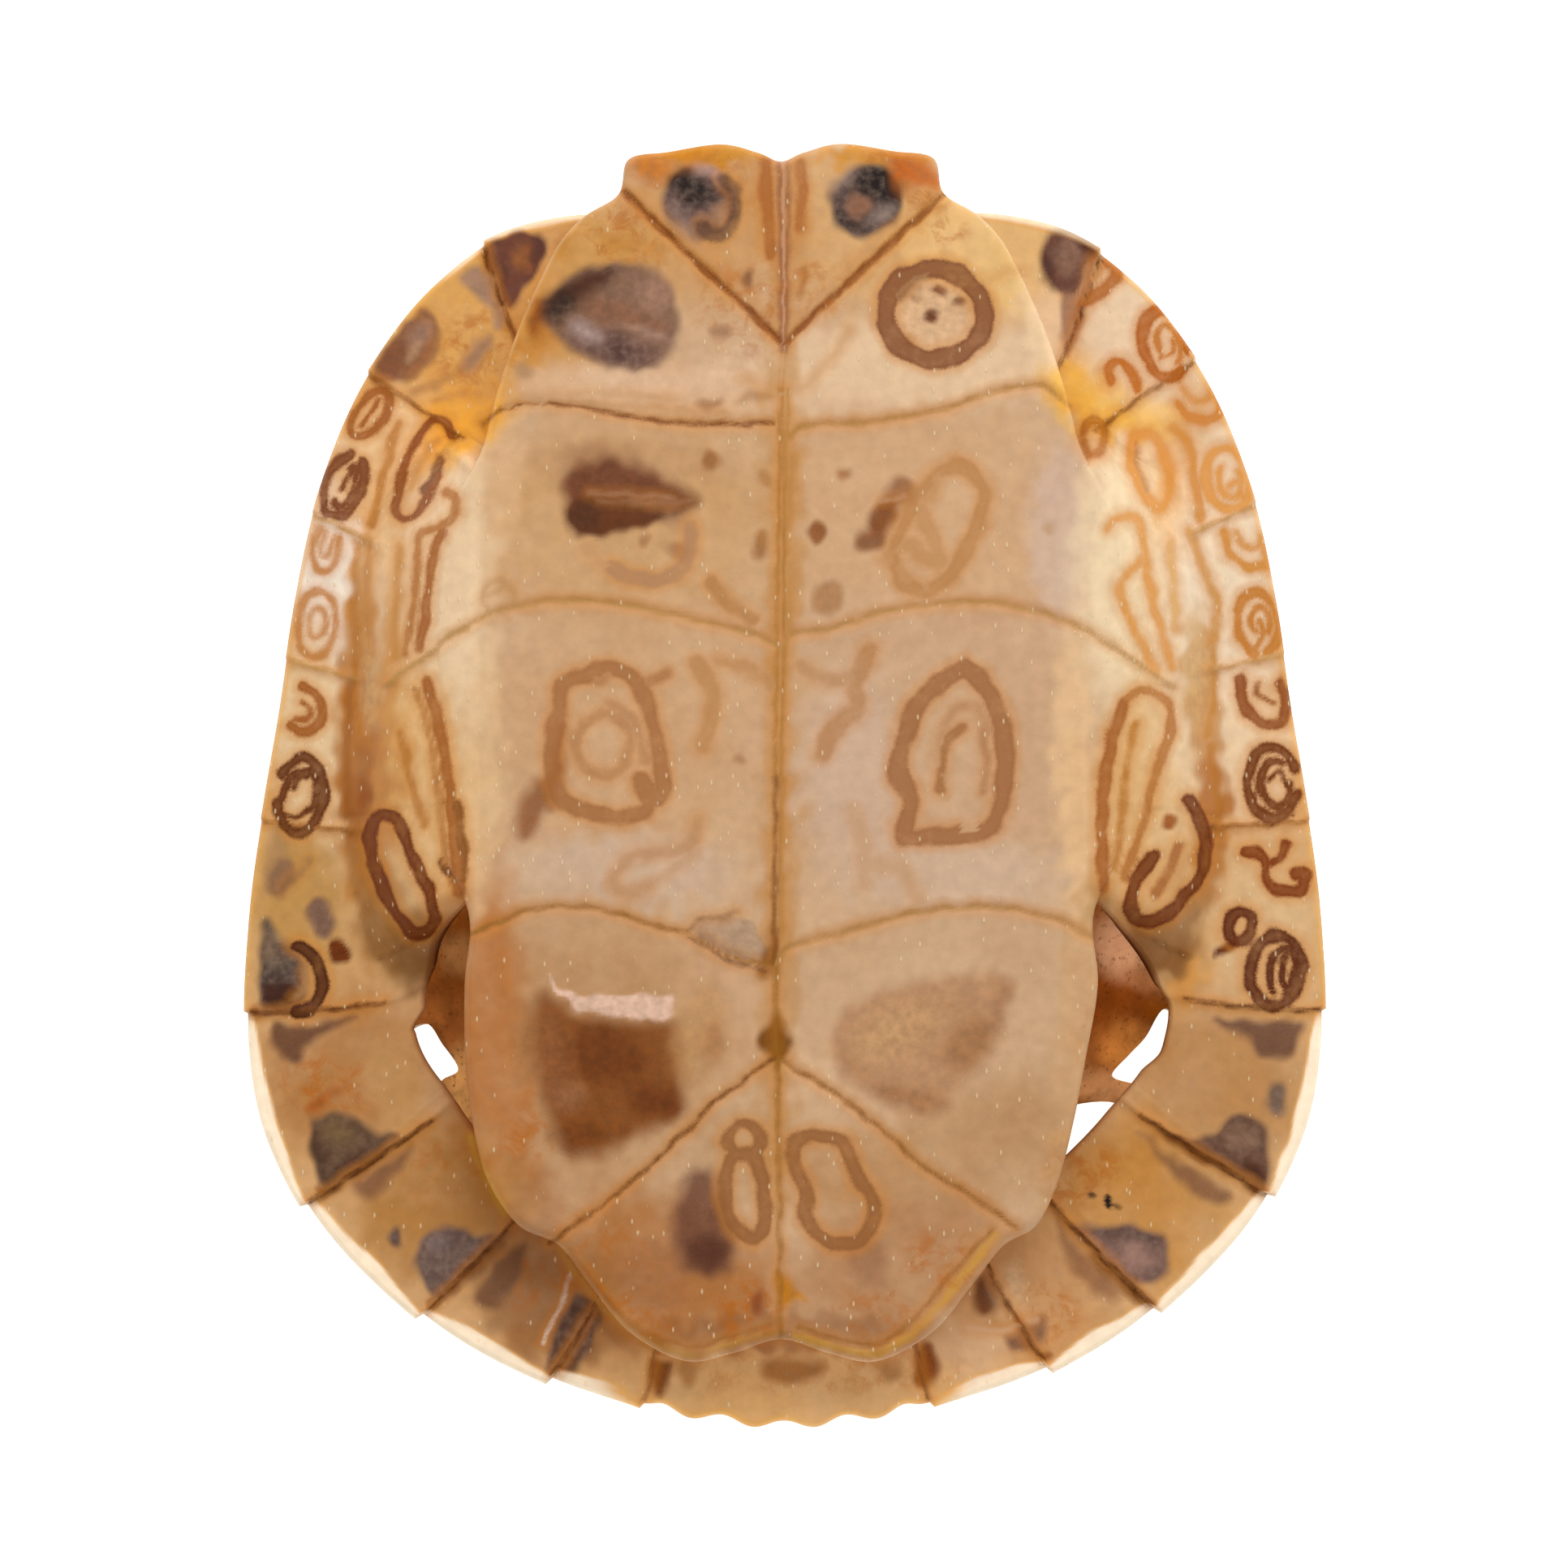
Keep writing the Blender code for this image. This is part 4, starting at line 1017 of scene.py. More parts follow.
stroke("#5A3014", 0.8, 5, (852, 1154), (876, 1170), (900, 1184), (944, 1196))
stroke("#8A6A58", 0.5, 7, (866, 1154), (890, 1170), (918, 1182))
stroke("#7E5C40", 0.7, 3, (850, 1144), (866, 1132), (884, 1130), (910, 1124))
patch("#6A3A10", 0.75, 0.5, (944, 1160), (954, 1140), (960, 1196), (934, 1200))
loop("#986036", 0.85, 23, (1190, 826), (1150, 848), (1124, 880), (1106, 948), (1124, 985), (1114, 1028),
     (1154, 1030), (1206, 1026), (1230, 1000), (1238, 915), (1222, 860))
stroke("#C49A70", 0.4, 18, (1128, 1030), (1162, 1030), (1206, 1023))
stroke("#9C6436", 0.8, 12, (1187, 896), (1164, 918), (1158, 972))
stroke("#A46C3E", 0.6, 10, (1210, 900), (1216, 940), (1212, 974))
ring("#A67044", 0.5, 10, 1190, 930, 32, 62, 0, 150, 330)
stroke("#A87038", 0.6, 20, (1072, 802), (1054, 843), (1056, 872), (1026, 900), (1014, 928))
stroke("#A87038", 0.45, 13, (988, 820), (1012, 838), (1052, 836))
stroke("#BC9268", 0.4, 14, (1052, 1000), (1062, 1040), (1064, 1090))
stroke("#BC9268", 0.45, 12, (1075, 1066), (1112, 1072), (1130, 1108))
patch("#744208", 0.9, 0.45, (955, 1246), (963, 1262), (978, 1282), (965, 1300), (956, 1318), (946, 1300),
      (932, 1282), (947, 1262))
spot("#4E2802", 0.8, 0.5, 957, 1282, 7, 14)
patch("#844A1C", 0.92, 1.1, (672, 1222), (684, 1232), (720, 1250), (780, 1258), (830, 1260), (836, 1306),
      (843, 1358), (832, 1378), (800, 1392), (768, 1410), (728, 1424), (694, 1412), (676, 1374),
      (662, 1324), (652, 1275), (660, 1238))
spot("#6E3812", 0.8, 1.1, 748, 1300, 46, 34, 20)
spot("#6A3412", 0.75, 1, 806, 1356, 34, 18, 15)
spot("#763E16", 0.7, 1.1, 712, 1402, 28, 20)
spot("#9A6640", 0.8, 1, 700, 1350, 22, 16)
spot("#945C36", 0.55, 1.2, 680, 1300, 22, 60, -6)
spot("#A06A38", 0.5, 1.4, 648, 1284, 16, 50)
spot("#BC8850", 0.5, 1.4, 862, 1270, 30, 60, 15)
spot("#A06634", 0.45, 1, 880, 1282, 16, 26)
patch("#E0B89E", 0.95, 0.2, (672, 1200), (690, 1216), (719, 1228), (772, 1226), (826, 1228), (827, 1254),
      (796, 1256), (744, 1250), (716, 1244), (688, 1226))
patch("#B48158", 0.7, 0.9, (1024, 1276), (1048, 1238), (1122, 1212), (1171, 1202), (1225, 1197),
      (1246, 1212), (1240, 1246), (1220, 1295), (1186, 1339), (1146, 1373), (1112, 1368), (1068, 1344),
      (1034, 1314))
spot("#A06E44", 0.65, 1.2, 1196, 1286, 40, 26, -46)
spot("#A06E46", 0.7, 1, 1120, 1352, 48, 13, 12)
spot("#A87850", 0.55, 1, 1052, 1318, 12, 26, -30)
spot("#9C6A44", 0.5, 0.8, 1236, 1226, 8, 26, 12)
spot("#C89A6A", 0.65, 1.3, 1104, 1272, 52, 26, -22)
ring("#925C32", 0.9, 15, 917, 1404, 20, 19)
loop("#925C32", 0.9, 17, (904, 1424), (894, 1450), (896, 1490), (908, 1514), (930, 1526), (943, 1500),
     (940, 1460), (928, 1424))
patch("#704432", 0.82, 0.9, (838, 1464), (856, 1440), (878, 1444), (892, 1474), (908, 1530), (898, 1564),
      (866, 1572), (836, 1552), (828, 1510))
spot("#4E2818", 0.6, 0.9, 870, 1544, 26, 22)
patch("#9A6644", 0.4, 1.2, (760, 1560), (800, 1530), (840, 1540), (850, 1590), (820, 1620), (776, 1600))
spot("#8A4010", 0.8, 0.5, 934, 1606, 10, 16)
loop("#925C32", 0.9, 18, (975, 1420), (986, 1402), (1012, 1400), (1038, 1406), (1050, 1430), (1060, 1455),
     (1076, 1476), (1076, 1505), (1060, 1528), (1034, 1533), (1006, 1518), (992, 1498), (994, 1474),
     (984, 1450))
spot("#94603E", 0.55, 1, 1068, 1552, 26, 34, -15)
patch("#C07808", 0.85, 0.5, (960, 1566), (974, 1586), (994, 1600), (962, 1606))

# %% Marks of the bridges
stroke(BROWN, 0.95, 11, (549, 606), (562, 618), (560, 636), (546, 646))
stroke(BROWN, 0.95, 8, (540, 650), (518, 660), (514, 700), (508, 750), (498, 806))
stroke(SEPIA, 0.95, 12, (545, 655), (532, 690), (526, 740), (517, 800))
stroke("#C4843C", 0.8, 9, (492, 672), (489, 740), (486, 810))
stroke(SEPIA, 0.95, 15, (526, 840), (540, 890), (552, 960), (560, 1030), (567, 1098))
stroke(BROWN, 0.85, 7, (512, 850), (528, 900), (540, 980), (548, 1050), (556, 1090))
stroke("#80440F", 0.9, 13, (562, 990), (568, 1030), (570, 1062), (566, 1092))
stroke("#6C3208", 0.9, 10, (546, 1062), (554, 1076), (567, 1090))
stroke("#B26C20", 0.75, 9, (494, 903), (505, 960), (524, 1016))
stroke("#904C1C", 1, 11, (557, 538), (547, 519), (530, 521), (511, 546), (498, 576), (490, 610), (488, 632),
       (499, 640), (516, 630), (530, 608), (538, 586))
stroke("#6C3210", 0.9, 11, (542, 566), (534, 590), (522, 604))
stroke("#C48440", 0.7, 8, (540, 540), (520, 566), (506, 600))
stroke("#B87428", 0.85, 11, (490, 524), (474, 580), (458, 646))
loop(UMBER, 1, 16, (468, 1004), (456, 1030), (462, 1070), (484, 1118), (512, 1150), (536, 1136),
     (526, 1094), (506, 1050), (488, 1012))
ring("#A85C08", 0.85, 10, 1348, 540, 13, 22)
ring(RUSSET, 0.95, 12, 1418, 578, 21, 48, -16)
stroke("#B0661C", 0.7, 7, (1398, 536), (1400, 570), (1412, 606))
stroke(RUSSET, 0.85, 10, (1366, 652), (1376, 638), (1400, 640), (1410, 670), (1416, 720), (1430, 776),
       (1444, 822))
stroke(RUSSET, 0.85, 10, (1406, 690), (1382, 716), (1384, 744), (1402, 782), (1424, 826))
stroke("#D8A050", 0.75, 8, (1440, 668), (1446, 720), (1448, 775))
stroke("#CC8A34", 0.8, 11, (1466, 655), (1482, 700), (1500, 745), (1495, 790))
stroke(SEPIA, 0.95, 15, (1384, 866), (1368, 920), (1358, 990), (1360, 1096))
stroke(BROWN, 0.95, 11, (1384, 866), (1408, 850), (1436, 864), (1444, 894), (1426, 946), (1410, 1010),
       (1386, 1080))
stroke("#B4701C", 0.8, 8, (1400, 892), (1390, 940), (1382, 1010), (1374, 1070))
spot(SEPIA, 1, 0.3, 1441, 1012, 10, 9)
stroke(UMBER, 1, 17, (1464, 986), (1480, 1014), (1486, 1050), (1472, 1090), (1436, 1128), (1402, 1136),
       (1392, 1112), (1402, 1082), (1420, 1056))
stroke(SEPIA, 0.85, 12, (1452, 1042), (1440, 1076), (1424, 1100))
patch("#C89A62", 0.5, 0.7, (444, 778), (464, 784), (468, 850), (460, 896), (446, 900), (442, 850))
patch("#CFA268", 0.5, 0.7, (1466, 800), (1488, 786), (1490, 850), (1482, 900), (1466, 884), (1462, 840))
stroke("#B87014", 0.8, 5, (440, 772), (437, 850), (444, 906))
stroke("#C4821C", 0.8, 5, (1496, 780), (1496, 850), (1488, 906))

# %% Marks of the marginal plates, left
patch("#6C3E2C", 1, 0.4, (598, 302), (640, 286), (668, 298), (668, 318), (652, 345), (628, 382), (612, 345))
spot("#A0602C", 0.8, 0.7, 644, 318, 12, 16, 20)
spot("#4A241C", 0.75, 0.5, 612, 340, 9, 36, -20)
spot("#4A2018", 0.6, 0.5, 661, 308, 7, 20, 10)
patch("#9A7A68", 0.8, 0.5, (566, 342), (590, 328), (606, 346), (618, 378), (624, 402), (612, 404),
      (602, 380), (588, 364))
patch("#8E5E3E", 1, 0.45, (458, 468), (474, 430), (496, 402), (520, 382), (536, 392), (540, 416),
      (530, 444), (508, 466), (480, 473))
spot("#9A7660", 0.8, 0.6, 521, 410, 13, 26, 35)
spot("#7E4A2C", 0.75, 0.5, 484, 444, 17, 26, 45)
spot("#BC946C", 0.65, 0.5, 508, 434, 5, 14, 40)
stroke("#6A4A3C", 0.55, 6, (520, 385), (536, 394), (540, 417), (530, 444), (512, 464))
patch("#96705A", 0.75, 0.6, (566, 454), (576, 430), (594, 414), (608, 414), (600, 436), (582, 460))
stroke("#A4703C", 0.6, 9, (508, 484), (540, 472), (566, 456))
stroke("#B0764A", 0.5, 5, (536, 494), (560, 486), (590, 486))
ring(SEPIA, 1, 10, 456, 509, 17, 34, 38)
stroke(SEPIA, 1, 7, (446, 524), (458, 510), (468, 494))
ring("#7C4220", 1, 12, 424, 598, 22, 40, 22, -60, 250)
ring("#7C4220", 1, 9, 426, 600, 11, 26, 22, -110, 130)
stroke("#7C4220", 1, 7, (420, 604), (428, 590), (434, 574))
ring("#C27E3C", 0.9, 9, 402, 672, 16, 32, 10, -20, 220)
ring("#C27E3C", 0.85, 6, 403, 668, 7, 17, 10, -20, 220)
ring("#C27E3C", 0.9, 9, 390, 769, 23, 41, 6)
ring("#C27E3C", 0.85, 7, 391, 768, 10, 18, 6)
stroke("#BC7830", 0.7, 8, (440, 668), (436, 740), (440, 806))
stroke("#BC7830", 0.6, 7, (456, 670), (452, 740), (458, 806))
stroke(SEPIA, 1, 13, (374, 846), (394, 860), (396, 886), (376, 902), (358, 896))
stroke(SEPIA, 1, 7, (372, 866), (382, 872), (380, 884), (366, 886))
ring("#66300F", 1, 15, 370, 980, 28, 46, 6, -150, 165)
ring("#66300F", 1, 10, 376, 976, 14, 27, 6, -170, 60)
stroke("#66300F", 1, 11, (346, 985), (352, 968), (366, 950), (376, 956))
stroke("#66300F", 1, 8, (350, 1004), (368, 1006), (380, 996))
# Partly painted shade: the horn's dark orange at the foot of the left bridge, darker in the hollow there.
stroke("#A05A14", 0.65, 10, (430, 843), (428, 940), (433, 1025))
spot("#8A6648", 0.4, 0.6, 344, 1040, 16, 22, 10)
spot("#8A6448", 0.85, 0.5, 344, 1082, 18, 24, 15)
stroke("#76543C", 0.5, 9, (350, 1094), (368, 1076), (380, 1060))
spot("#7C5A4A", 0.9, 0.4, 396, 1130, 15, 26, -14)
spot("#6E3208", 1, 0.3, 417, 1172, 12, 18, -24)
patch("#54443A", 0.95, 0.5, (322, 1138), (332, 1134), (344, 1154), (366, 1168), (379, 1199), (374, 1236),
      (348, 1248), (322, 1246), (319, 1190))
spot("#86694F", 0.7, 0.7, 334, 1168, 10, 22, -10)
spot("#421E10", 0.85, 0.7, 346, 1226, 24, 20)
ring("#4A1C06", 1, 17, 362, 1206, 34, 42, -22, -60, 110)
stroke("#B08458", 0.7, 5, (362, 1230), (376, 1216), (374, 1196))
patch("#68402A", 0.85, 0.5, (334, 1262), (380, 1264), (440, 1252), (384, 1282), (370, 1306), (344, 1302))
spot("#A85410", 0.8, 0.5, 392, 1360, 15, 9, -40)
spot("#A85410", 0.7, 0.5, 414, 1344, 9, 5, -30)
patch("#664A34", 1, 0.5, (382, 1386), (402, 1373), (437, 1378), (464, 1395), (494, 1402), (468, 1428),
      (437, 1450), (404, 1468), (388, 1436))
spot("#82643E", 0.65, 0.8, 416, 1394, 22, 12, 20)
spot("#44261A", 0.8, 0.7, 438, 1434, 44, 9, -32)
spot("#44261A", 0.6, 0.6, 392, 1416, 8, 28, -12)
patch("#744832", 0.7, 0.6, (436, 1456), (470, 1434), (510, 1408), (494, 1440), (462, 1474), (440, 1472))
spot("#664C40", 1, 0.4, 487, 1526, 9, 13)
patch("#6C544A", 1, 0.45, (512, 1548), (526, 1520), (556, 1512), (596, 1524), (632, 1514), (594, 1556),
      (548, 1602), (520, 1580))
spot("#86706A", 0.7, 0.7, 538, 1532, 14, 10)
spot("#44281E", 0.8, 0.7, 578, 1566, 54, 9, -40)
patch("#6A4430", 0.7, 0.6, (584, 1596), (612, 1556), (648, 1530), (640, 1570), (610, 1612))
patch("#5A3E30", 1, 0.45, (674, 1690), (688, 1630), (712, 1596), (740, 1610), (732, 1650), (700, 1698))
spot("#8A6A58", 0.5, 0.8, 718, 1642, 10, 20, 30)
stroke("#E8D8C8", 0.8, 3, (704, 1571), (690, 1610), (668, 1655))

SEAM_TIPS = ((313, 1250), (396, 1470), (532, 1607), (683, 1702), (1356, 301), (1555, 1469), (1418, 1609),
             (1287, 1671))
for x, y in SEAM_TIPS:
    spot("#5A2406", 0.9, 0.35, x, y, 8, 7)

# %% Marks of the marginal plates, right and rear
patch("#6C4434", 1, 0.4, (1284, 306), (1296, 282), (1322, 278), (1350, 296), (1340, 330), (1326, 356),
      (1308, 362), (1290, 340))
spot("#8E6A54", 0.7, 0.6, 1318, 316, 16, 24, 20)
spot("#4A241A", 0.7, 0.5, 1291, 334, 8, 26, -16)
spot("#4A2010", 0.8, 0.5, 1344, 304, 16, 9, 30)
patch("#9A6C50", 0.8, 0.4, (1308, 362), (1328, 356), (1342, 330), (1338, 376), (1318, 436), (1308, 410))
stroke("#A85C1C", 0.7, 5, (1346, 318), (1338, 356), (1326, 400), (1316, 440))
stroke("#B0600C", 0.9, 14, (1364, 322), (1376, 330), (1372, 346), (1352, 362), (1338, 372))
stroke("#C4782C", 0.7, 8, (1344, 346), (1356, 334), (1360, 326))
ring("#B25E08", 1, 13, 1435, 424, 27, 42, -12, 60, 380)
ring("#C27424", 1, 8, 1440, 426, 14, 26, -12, -190, 60)
stroke("#C27424", 1, 7, (1430, 440), (1444, 434), (1446, 418))
stroke("#C06C16", 1, 12, (1368, 470), (1366, 454), (1380, 444), (1394, 458), (1402, 480))
stroke("#CC8030", 1, 11, (1452, 498), (1462, 512), (1486, 518), (1504, 506), (1498, 480))
stroke("#D08A3C", 0.9, 7, (1456, 476), (1474, 494), (1490, 490), (1494, 478))
ring("#DA964A", 1, 11, 1513, 590, 27, 38, -14, -10, 330)
ring("#DA964A", 1, 7, 1516, 592, 14, 22, -14, -30, 240)
stroke("#DA964A", 1, 7, (1514, 600), (1526, 592), (1532, 612))
stroke("#CE8630", 0.85, 10, (1445, 526), (1464, 545), (1472, 590), (1480, 640))
stroke("#D08C40", 1, 10, (1508, 656), (1514, 682), (1536, 696), (1562, 696), (1556, 668))
stroke("#D08C40", 0.85, 7, (1522, 656), (1532, 672), (1548, 674), (1554, 660))
ring("#C47C30", 1, 11, 1550, 769, 25, 39, -8, 110, 430)
ring("#C47C30", 1, 7, 1553, 766, 12, 19, -8, 140, 400)
stroke("#C47C30", 1, 7, (1546, 800), (1556, 780), (1552, 764))
stroke("#924E20", 1, 13, (1528, 836), (1530, 862), (1550, 888), (1578, 892), (1584, 862), (1576, 840))
stroke("#924E20", 0.9, 8, (1550, 842), (1552, 858), (1568, 866))
ring("#703408", 1, 14, 1568, 965, 31, 44, -4, 20, 335)
ring("#703408", 1, 10, 1572, 966, 18, 29, -4, 0, 300)
stroke("#703408", 1, 8, (1560, 985), (1574, 996), (1592, 1004))
stroke("#703408", 1, 7, (1564, 960), (1576, 952), (1584, 966))
stroke("#B8741C", 0.65, 9, (1492, 920), (1500, 970), (1504, 1024))
stroke("#803600", 1, 15, (1536, 1048), (1556, 1058), (1562, 1084), (1580, 1098), (1604, 1096), (1608, 1076),
       (1596, 1076))
stroke("#803600", 1, 11, (1586, 1040), (1578, 1056), (1566, 1064))
ring("#5E2000", 1, 16, 1528, 1142, 14, 19, 20)
patch("#5E2000", 1, 0.3, (1494, 1178), (1510, 1160), (1528, 1162), (1508, 1178))
ring("#5A2000", 1, 15, 1572, 1196, 32, 44, 8)
ring("#5A2000", 1, 10, 1580, 1198, 15, 30, 8, 120, 420)
stroke("#5A2000", 1, 10, (1582, 1180), (1580, 1204), (1590, 1226))
patch("#6A4432", 0.85, 0.5, (1492, 1256), (1540, 1258), (1602, 1258), (1600, 1284), (1590, 1304),
      (1556, 1300), (1530, 1276))
spot("#70594A", 0.9, 0.5, 1573, 1353, 14, 20)
patch("#6A4836", 1, 0.45, (1426, 1393), (1456, 1402), (1490, 1400), (1515, 1378), (1539, 1371),
      (1559, 1393), (1564, 1432), (1554, 1467), (1515, 1447), (1470, 1424))
spot("#8A6850", 0.75, 0.8, 1530, 1402, 20, 15, 20)
spot("#44200E", 0.8, 0.7, 1546, 1448, 12, 20, -25)
spot("#4A2818", 0.8, 0.6, 1490, 1426, 56, 6, 26)
# Painted shadow: a dark purple-brown strip on the plate behind the seam, under the raised rear edge of the
# plate in front.
patch("#744A36", 0.7, 0.6, (1404, 1394), (1440, 1422), (1490, 1452), (1516, 1468), (1506, 1484),
      (1476, 1478), (1440, 1440))
spot("#1E1008", 1, 0.15, 1366, 1480, 7, 12, -15)
spot("#3A2010", 0.8, 0.15, 1345, 1474, 4, 4)
spot("#3A2010", 0.7, 0.15, 1378, 1487, 3, 3)
patch("#7C5C50", 1, 0.45, (1322, 1508), (1356, 1514), (1392, 1510), (1431, 1525), (1441, 1550),
      (1432, 1572), (1412, 1584), (1384, 1576), (1352, 1540))
spot("#A07C6C", 0.85, 0.8, 1398, 1546, 22, 15, 30)
spot("#58423A", 0.75, 0.7, 1388, 1520, 44, 7, 8)
spot("#4A2A20", 0.85, 0.6, 1382, 1578, 50, 7, 40)
patch("#845438", 0.65, 0.6, (1298, 1494), (1330, 1540), (1380, 1586), (1364, 1604), (1322, 1566))
patch("#6C3C20", 0.85, 0.5, (1198, 1590), (1214, 1572), (1226, 1610), (1208, 1622))
patch("#7C5440", 0.85, 0.5, (1236, 1650), (1262, 1636), (1284, 1622), (1288, 1646), (1268, 1668))
patch("#6A4A3C", 0.6, 0.6, (1212, 1560), (1226, 1572), (1236, 1602), (1222, 1606))
spot("#D8B488", 0.7, 1, 1246, 1590, 16, 34, 10)
stroke("#D8B898", 0.6, 3, (1190, 1636), (1230, 1640), (1262, 1630), (1276, 1626))
patch("#743804", 0.85, 0.4, (800, 1680), (830, 1678), (824, 1700), (808, 1722))
spot("#985C20", 0.6, 0.5, 848, 1690, 12, 18)
patch("#955618", 0.7, 0.6, (938, 1684), (952, 1674), (1018, 1680), (996, 1702), (948, 1704))
spot("#985C24", 0.6, 0.5, 1096, 1688, 13, 14)
patch("#783602", 0.88, 0.4, (1132, 1658), (1150, 1658), (1156, 1690), (1140, 1712), (1126, 1700))

# %% Colour of the seams
SEAM_PIGMENT = (("#82400E", 0.88, 8), ("#8C4A18", 0.88, 8), ("#80461A", 0.9, 5), ("#B08040", 0.85, 5),
                ("#B28648", 0.8, 5), ("#B28648", 0.8, 5), ("#946428", 0.85, 5), ("#AE8044", 0.8, 6),
                ("#74400F", 0.9, 5), ("#8E5C24", 0.85, 5))
for look, seam in zip(SEAM_PIGMENT, PLATE_SEAMS[1:]):
    stroke(*look, *seam)
stroke("#C49468", 0.6, 3, (790, 240), (850, 296), (912, 354), (950, 392))
stroke("#C49468", 0.6, 3, (1152, 236), (1096, 284), (1034, 340), (986, 388))
stroke("#A87430", 0.8, 4, (962, 480), (960, 620), (957, 800), (954, 955))
stroke("#B07C34", 0.75, 4, (971, 480), (968, 620), (966, 800), (962, 955))
stroke("#704010", 0.75, 6, (955, 955), (955, 1080), (955, 1190))
stroke("#AE7830", 0.7, 4, (964, 960), (963, 1080), (963, 1160))
stroke("#96641E", 0.75, 5, (956, 1190), (957, 1300), (960, 1450), (961, 1560), (960, 1650))
stroke("#C8A070", 0.6, 3, (916, 464), (940, 478), (963, 485), (990, 476), (1010, 458), (1038, 424),
       (1046, 406))
stroke("#C8A264", 0.6, 4, (1214, 345), (1256, 333))
stroke("#B48452", 0.45, 5, (622, 502), (700, 496), (800, 502), (900, 510))
stroke("#B48452", 0.35, 4, (640, 489), (740, 484), (830, 492))
stroke("#D2A030", 0.7, 7, (578, 1400), (588, 1428), (604, 1462), (622, 1496))
stroke("#C08C3C", 0.65, 7, (690, 1540), (712, 1574), (767, 1632), (819, 1662), (856, 1670), (911, 1652),
       (958, 1642))
stroke("#D09A3C", 0.75, 8, (1228, 1522), (1178, 1582), (1138, 1630), (1104, 1657), (1077, 1668),
       (1032, 1661), (979, 1646))
stroke("#86500E", 0.6, 4, (704, 1548), (730, 1582), (776, 1628), (820, 1652), (856, 1660), (908, 1644),
       (948, 1634))
stroke("#86500E", 0.7, 4, (1222, 1514), (1172, 1572), (1130, 1620), (1098, 1648), (1074, 1656),
       (1034, 1650), (985, 1636))
RIM_SEAM_PIGMENT = ("#8A5A30", "#8A5A30", "#5A240A", "#8A5014", "#C08C48", "#C08C48", "#9A5C20", "#5A2408",
                    "#50240C", "#50240C", "#5E3214", "#7A4A28", "#A87040")
for side, sign in (("left", -1), ("right", 1)):
    for number in range(1, 12):
        inner, outer = INNER_SEAMS[side][number], RIM_SEAMS[side][number]
        width = 1.15 * float(through(BAND_WIDTH, outer)) if 3 <= number <= 6 else 12.0
        inward = np.linspace(0.1, width, 9)
        at = sign * (outer + (inner - outer) * np.clip(inward / SEAMS_LEAN, 0, 1))
        spine = polar(rim_radius(at) - inward, at, lip_height(inward, at))
        RIM_LINES.append((RIM_SEAM_PIGMENT[number], 0.9, 5, np.column_stack(picture_point(spine))))

# %% Where rusty flecks show: strength, and the oval
RUST += [(0.8, 765, 290, 60, 40, 30), (0.5, 850, 210, 80, 25), (0.9, 1120, 222, 60, 30, 30),
         (0.7, 1165, 285, 30, 20), (0.6, 920, 380, 60, 60, 40), (0.5, 1010, 350, 40, 50),
         (0.7, 590, 430, 60, 50, -30), (0.9, 400, 1340, 60, 40), (0.5, 560, 1440, 60, 50),
         (0.7, 640, 1570, 50, 40), (0.7, 790, 1590, 90, 60, 35), (0.9, 920, 1610, 50, 40),
         (0.7, 1160, 1550, 50, 40), (0.5, 1080, 1620, 60, 40), (0.5, 720, 1560, 60, 70, 30),
         (0.7, 650, 1400, 40, 40), (0.7, 1340, 1450, 60, 40), (0.4, 1380, 1280, 60, 50),
         (0.5, 1000, 1690, 200, 30), (0.8, 1290, 1620, 40, 40)]
print("marks:", len(BLOTS), "filled,", len(LINES), "lines")

# %% [markdown]
# ## Colour onto the mesh
#
# Three things are stored on each point of a mesh that the picture shows: a broad tone, made by laying the
# soft washes over each other; the colour and strength of the filled marks; and the colour of the nearest
# line with the distance to its edge. They could be worked out by nodes, but hundreds of marks would make a
# slow material, and points of a mesh 0.3 mm apart are fine enough for them. A colour is written as the
# usual hex code for what the eye sees, and turned into the linear light values that the renderer works
# with by one function.

# %% Laying the colour
MARGIN = 40.0                # pixels round a mark where its distance is worked out
NO_LINE = 2.5                # mm, the distance stored where no line is near


def linear(code):
    """Linear red, green and blue of a hex colour: each value v becomes ((v + 0.055) / 1.055)^2.4."""
    v = np.array([int(code[i:i + 2], 16) for i in (1, 3, 5)]) / 255
    return np.where(v <= 0.04045, v / 12.92, ((v + 0.055) / 1.055) ** 2.4)


def oval_share(u, v, x, y, wide, high, tilt=0):
    """1 in the middle of an oval, easing to 0 outside it."""
    c, s = np.cos(np.radians(tilt)), np.sin(np.radians(tilt))
    a, b = (u - x) * c + (v - y) * s, (v - y) * c - (u - x) * s
    return ease(1.35, 0.55, np.hypot(a / wide, b / high))


def is_inside(line, u, v):
    """Whether points are inside a closed line: an odd number of its pieces cross the ray to the right."""
    odd = np.zeros(u.shape, bool)
    for (ax, ay), (bx, by) in zip(line[:-1], line[1:]):
        if ay != by:
            odd ^= ((ay > v) != (by > v)) & (u < ax + (v - ay) / (by - ay) * (bx - ax))
    return odd


def near_line(line, u, v):
    """Which points are within the margin of a line's box."""
    (x0, y0), (x1, y1) = line.min(0) - MARGIN, line.max(0) + MARGIN
    return np.nonzero((u > x0) & (u < x1) & (v > y0) & (v < y1))[0]


def laid_tones(u, v, base, washes):
    """The base colour with the washes laid over it in order."""
    tone = np.tile(linear(base), (len(u), 1))
    for code, strength, *shape in washes:
        share = (strength * oval_share(u, v, *shape))[:, None]
        tone += share * (linear(code) - tone)
    return tone


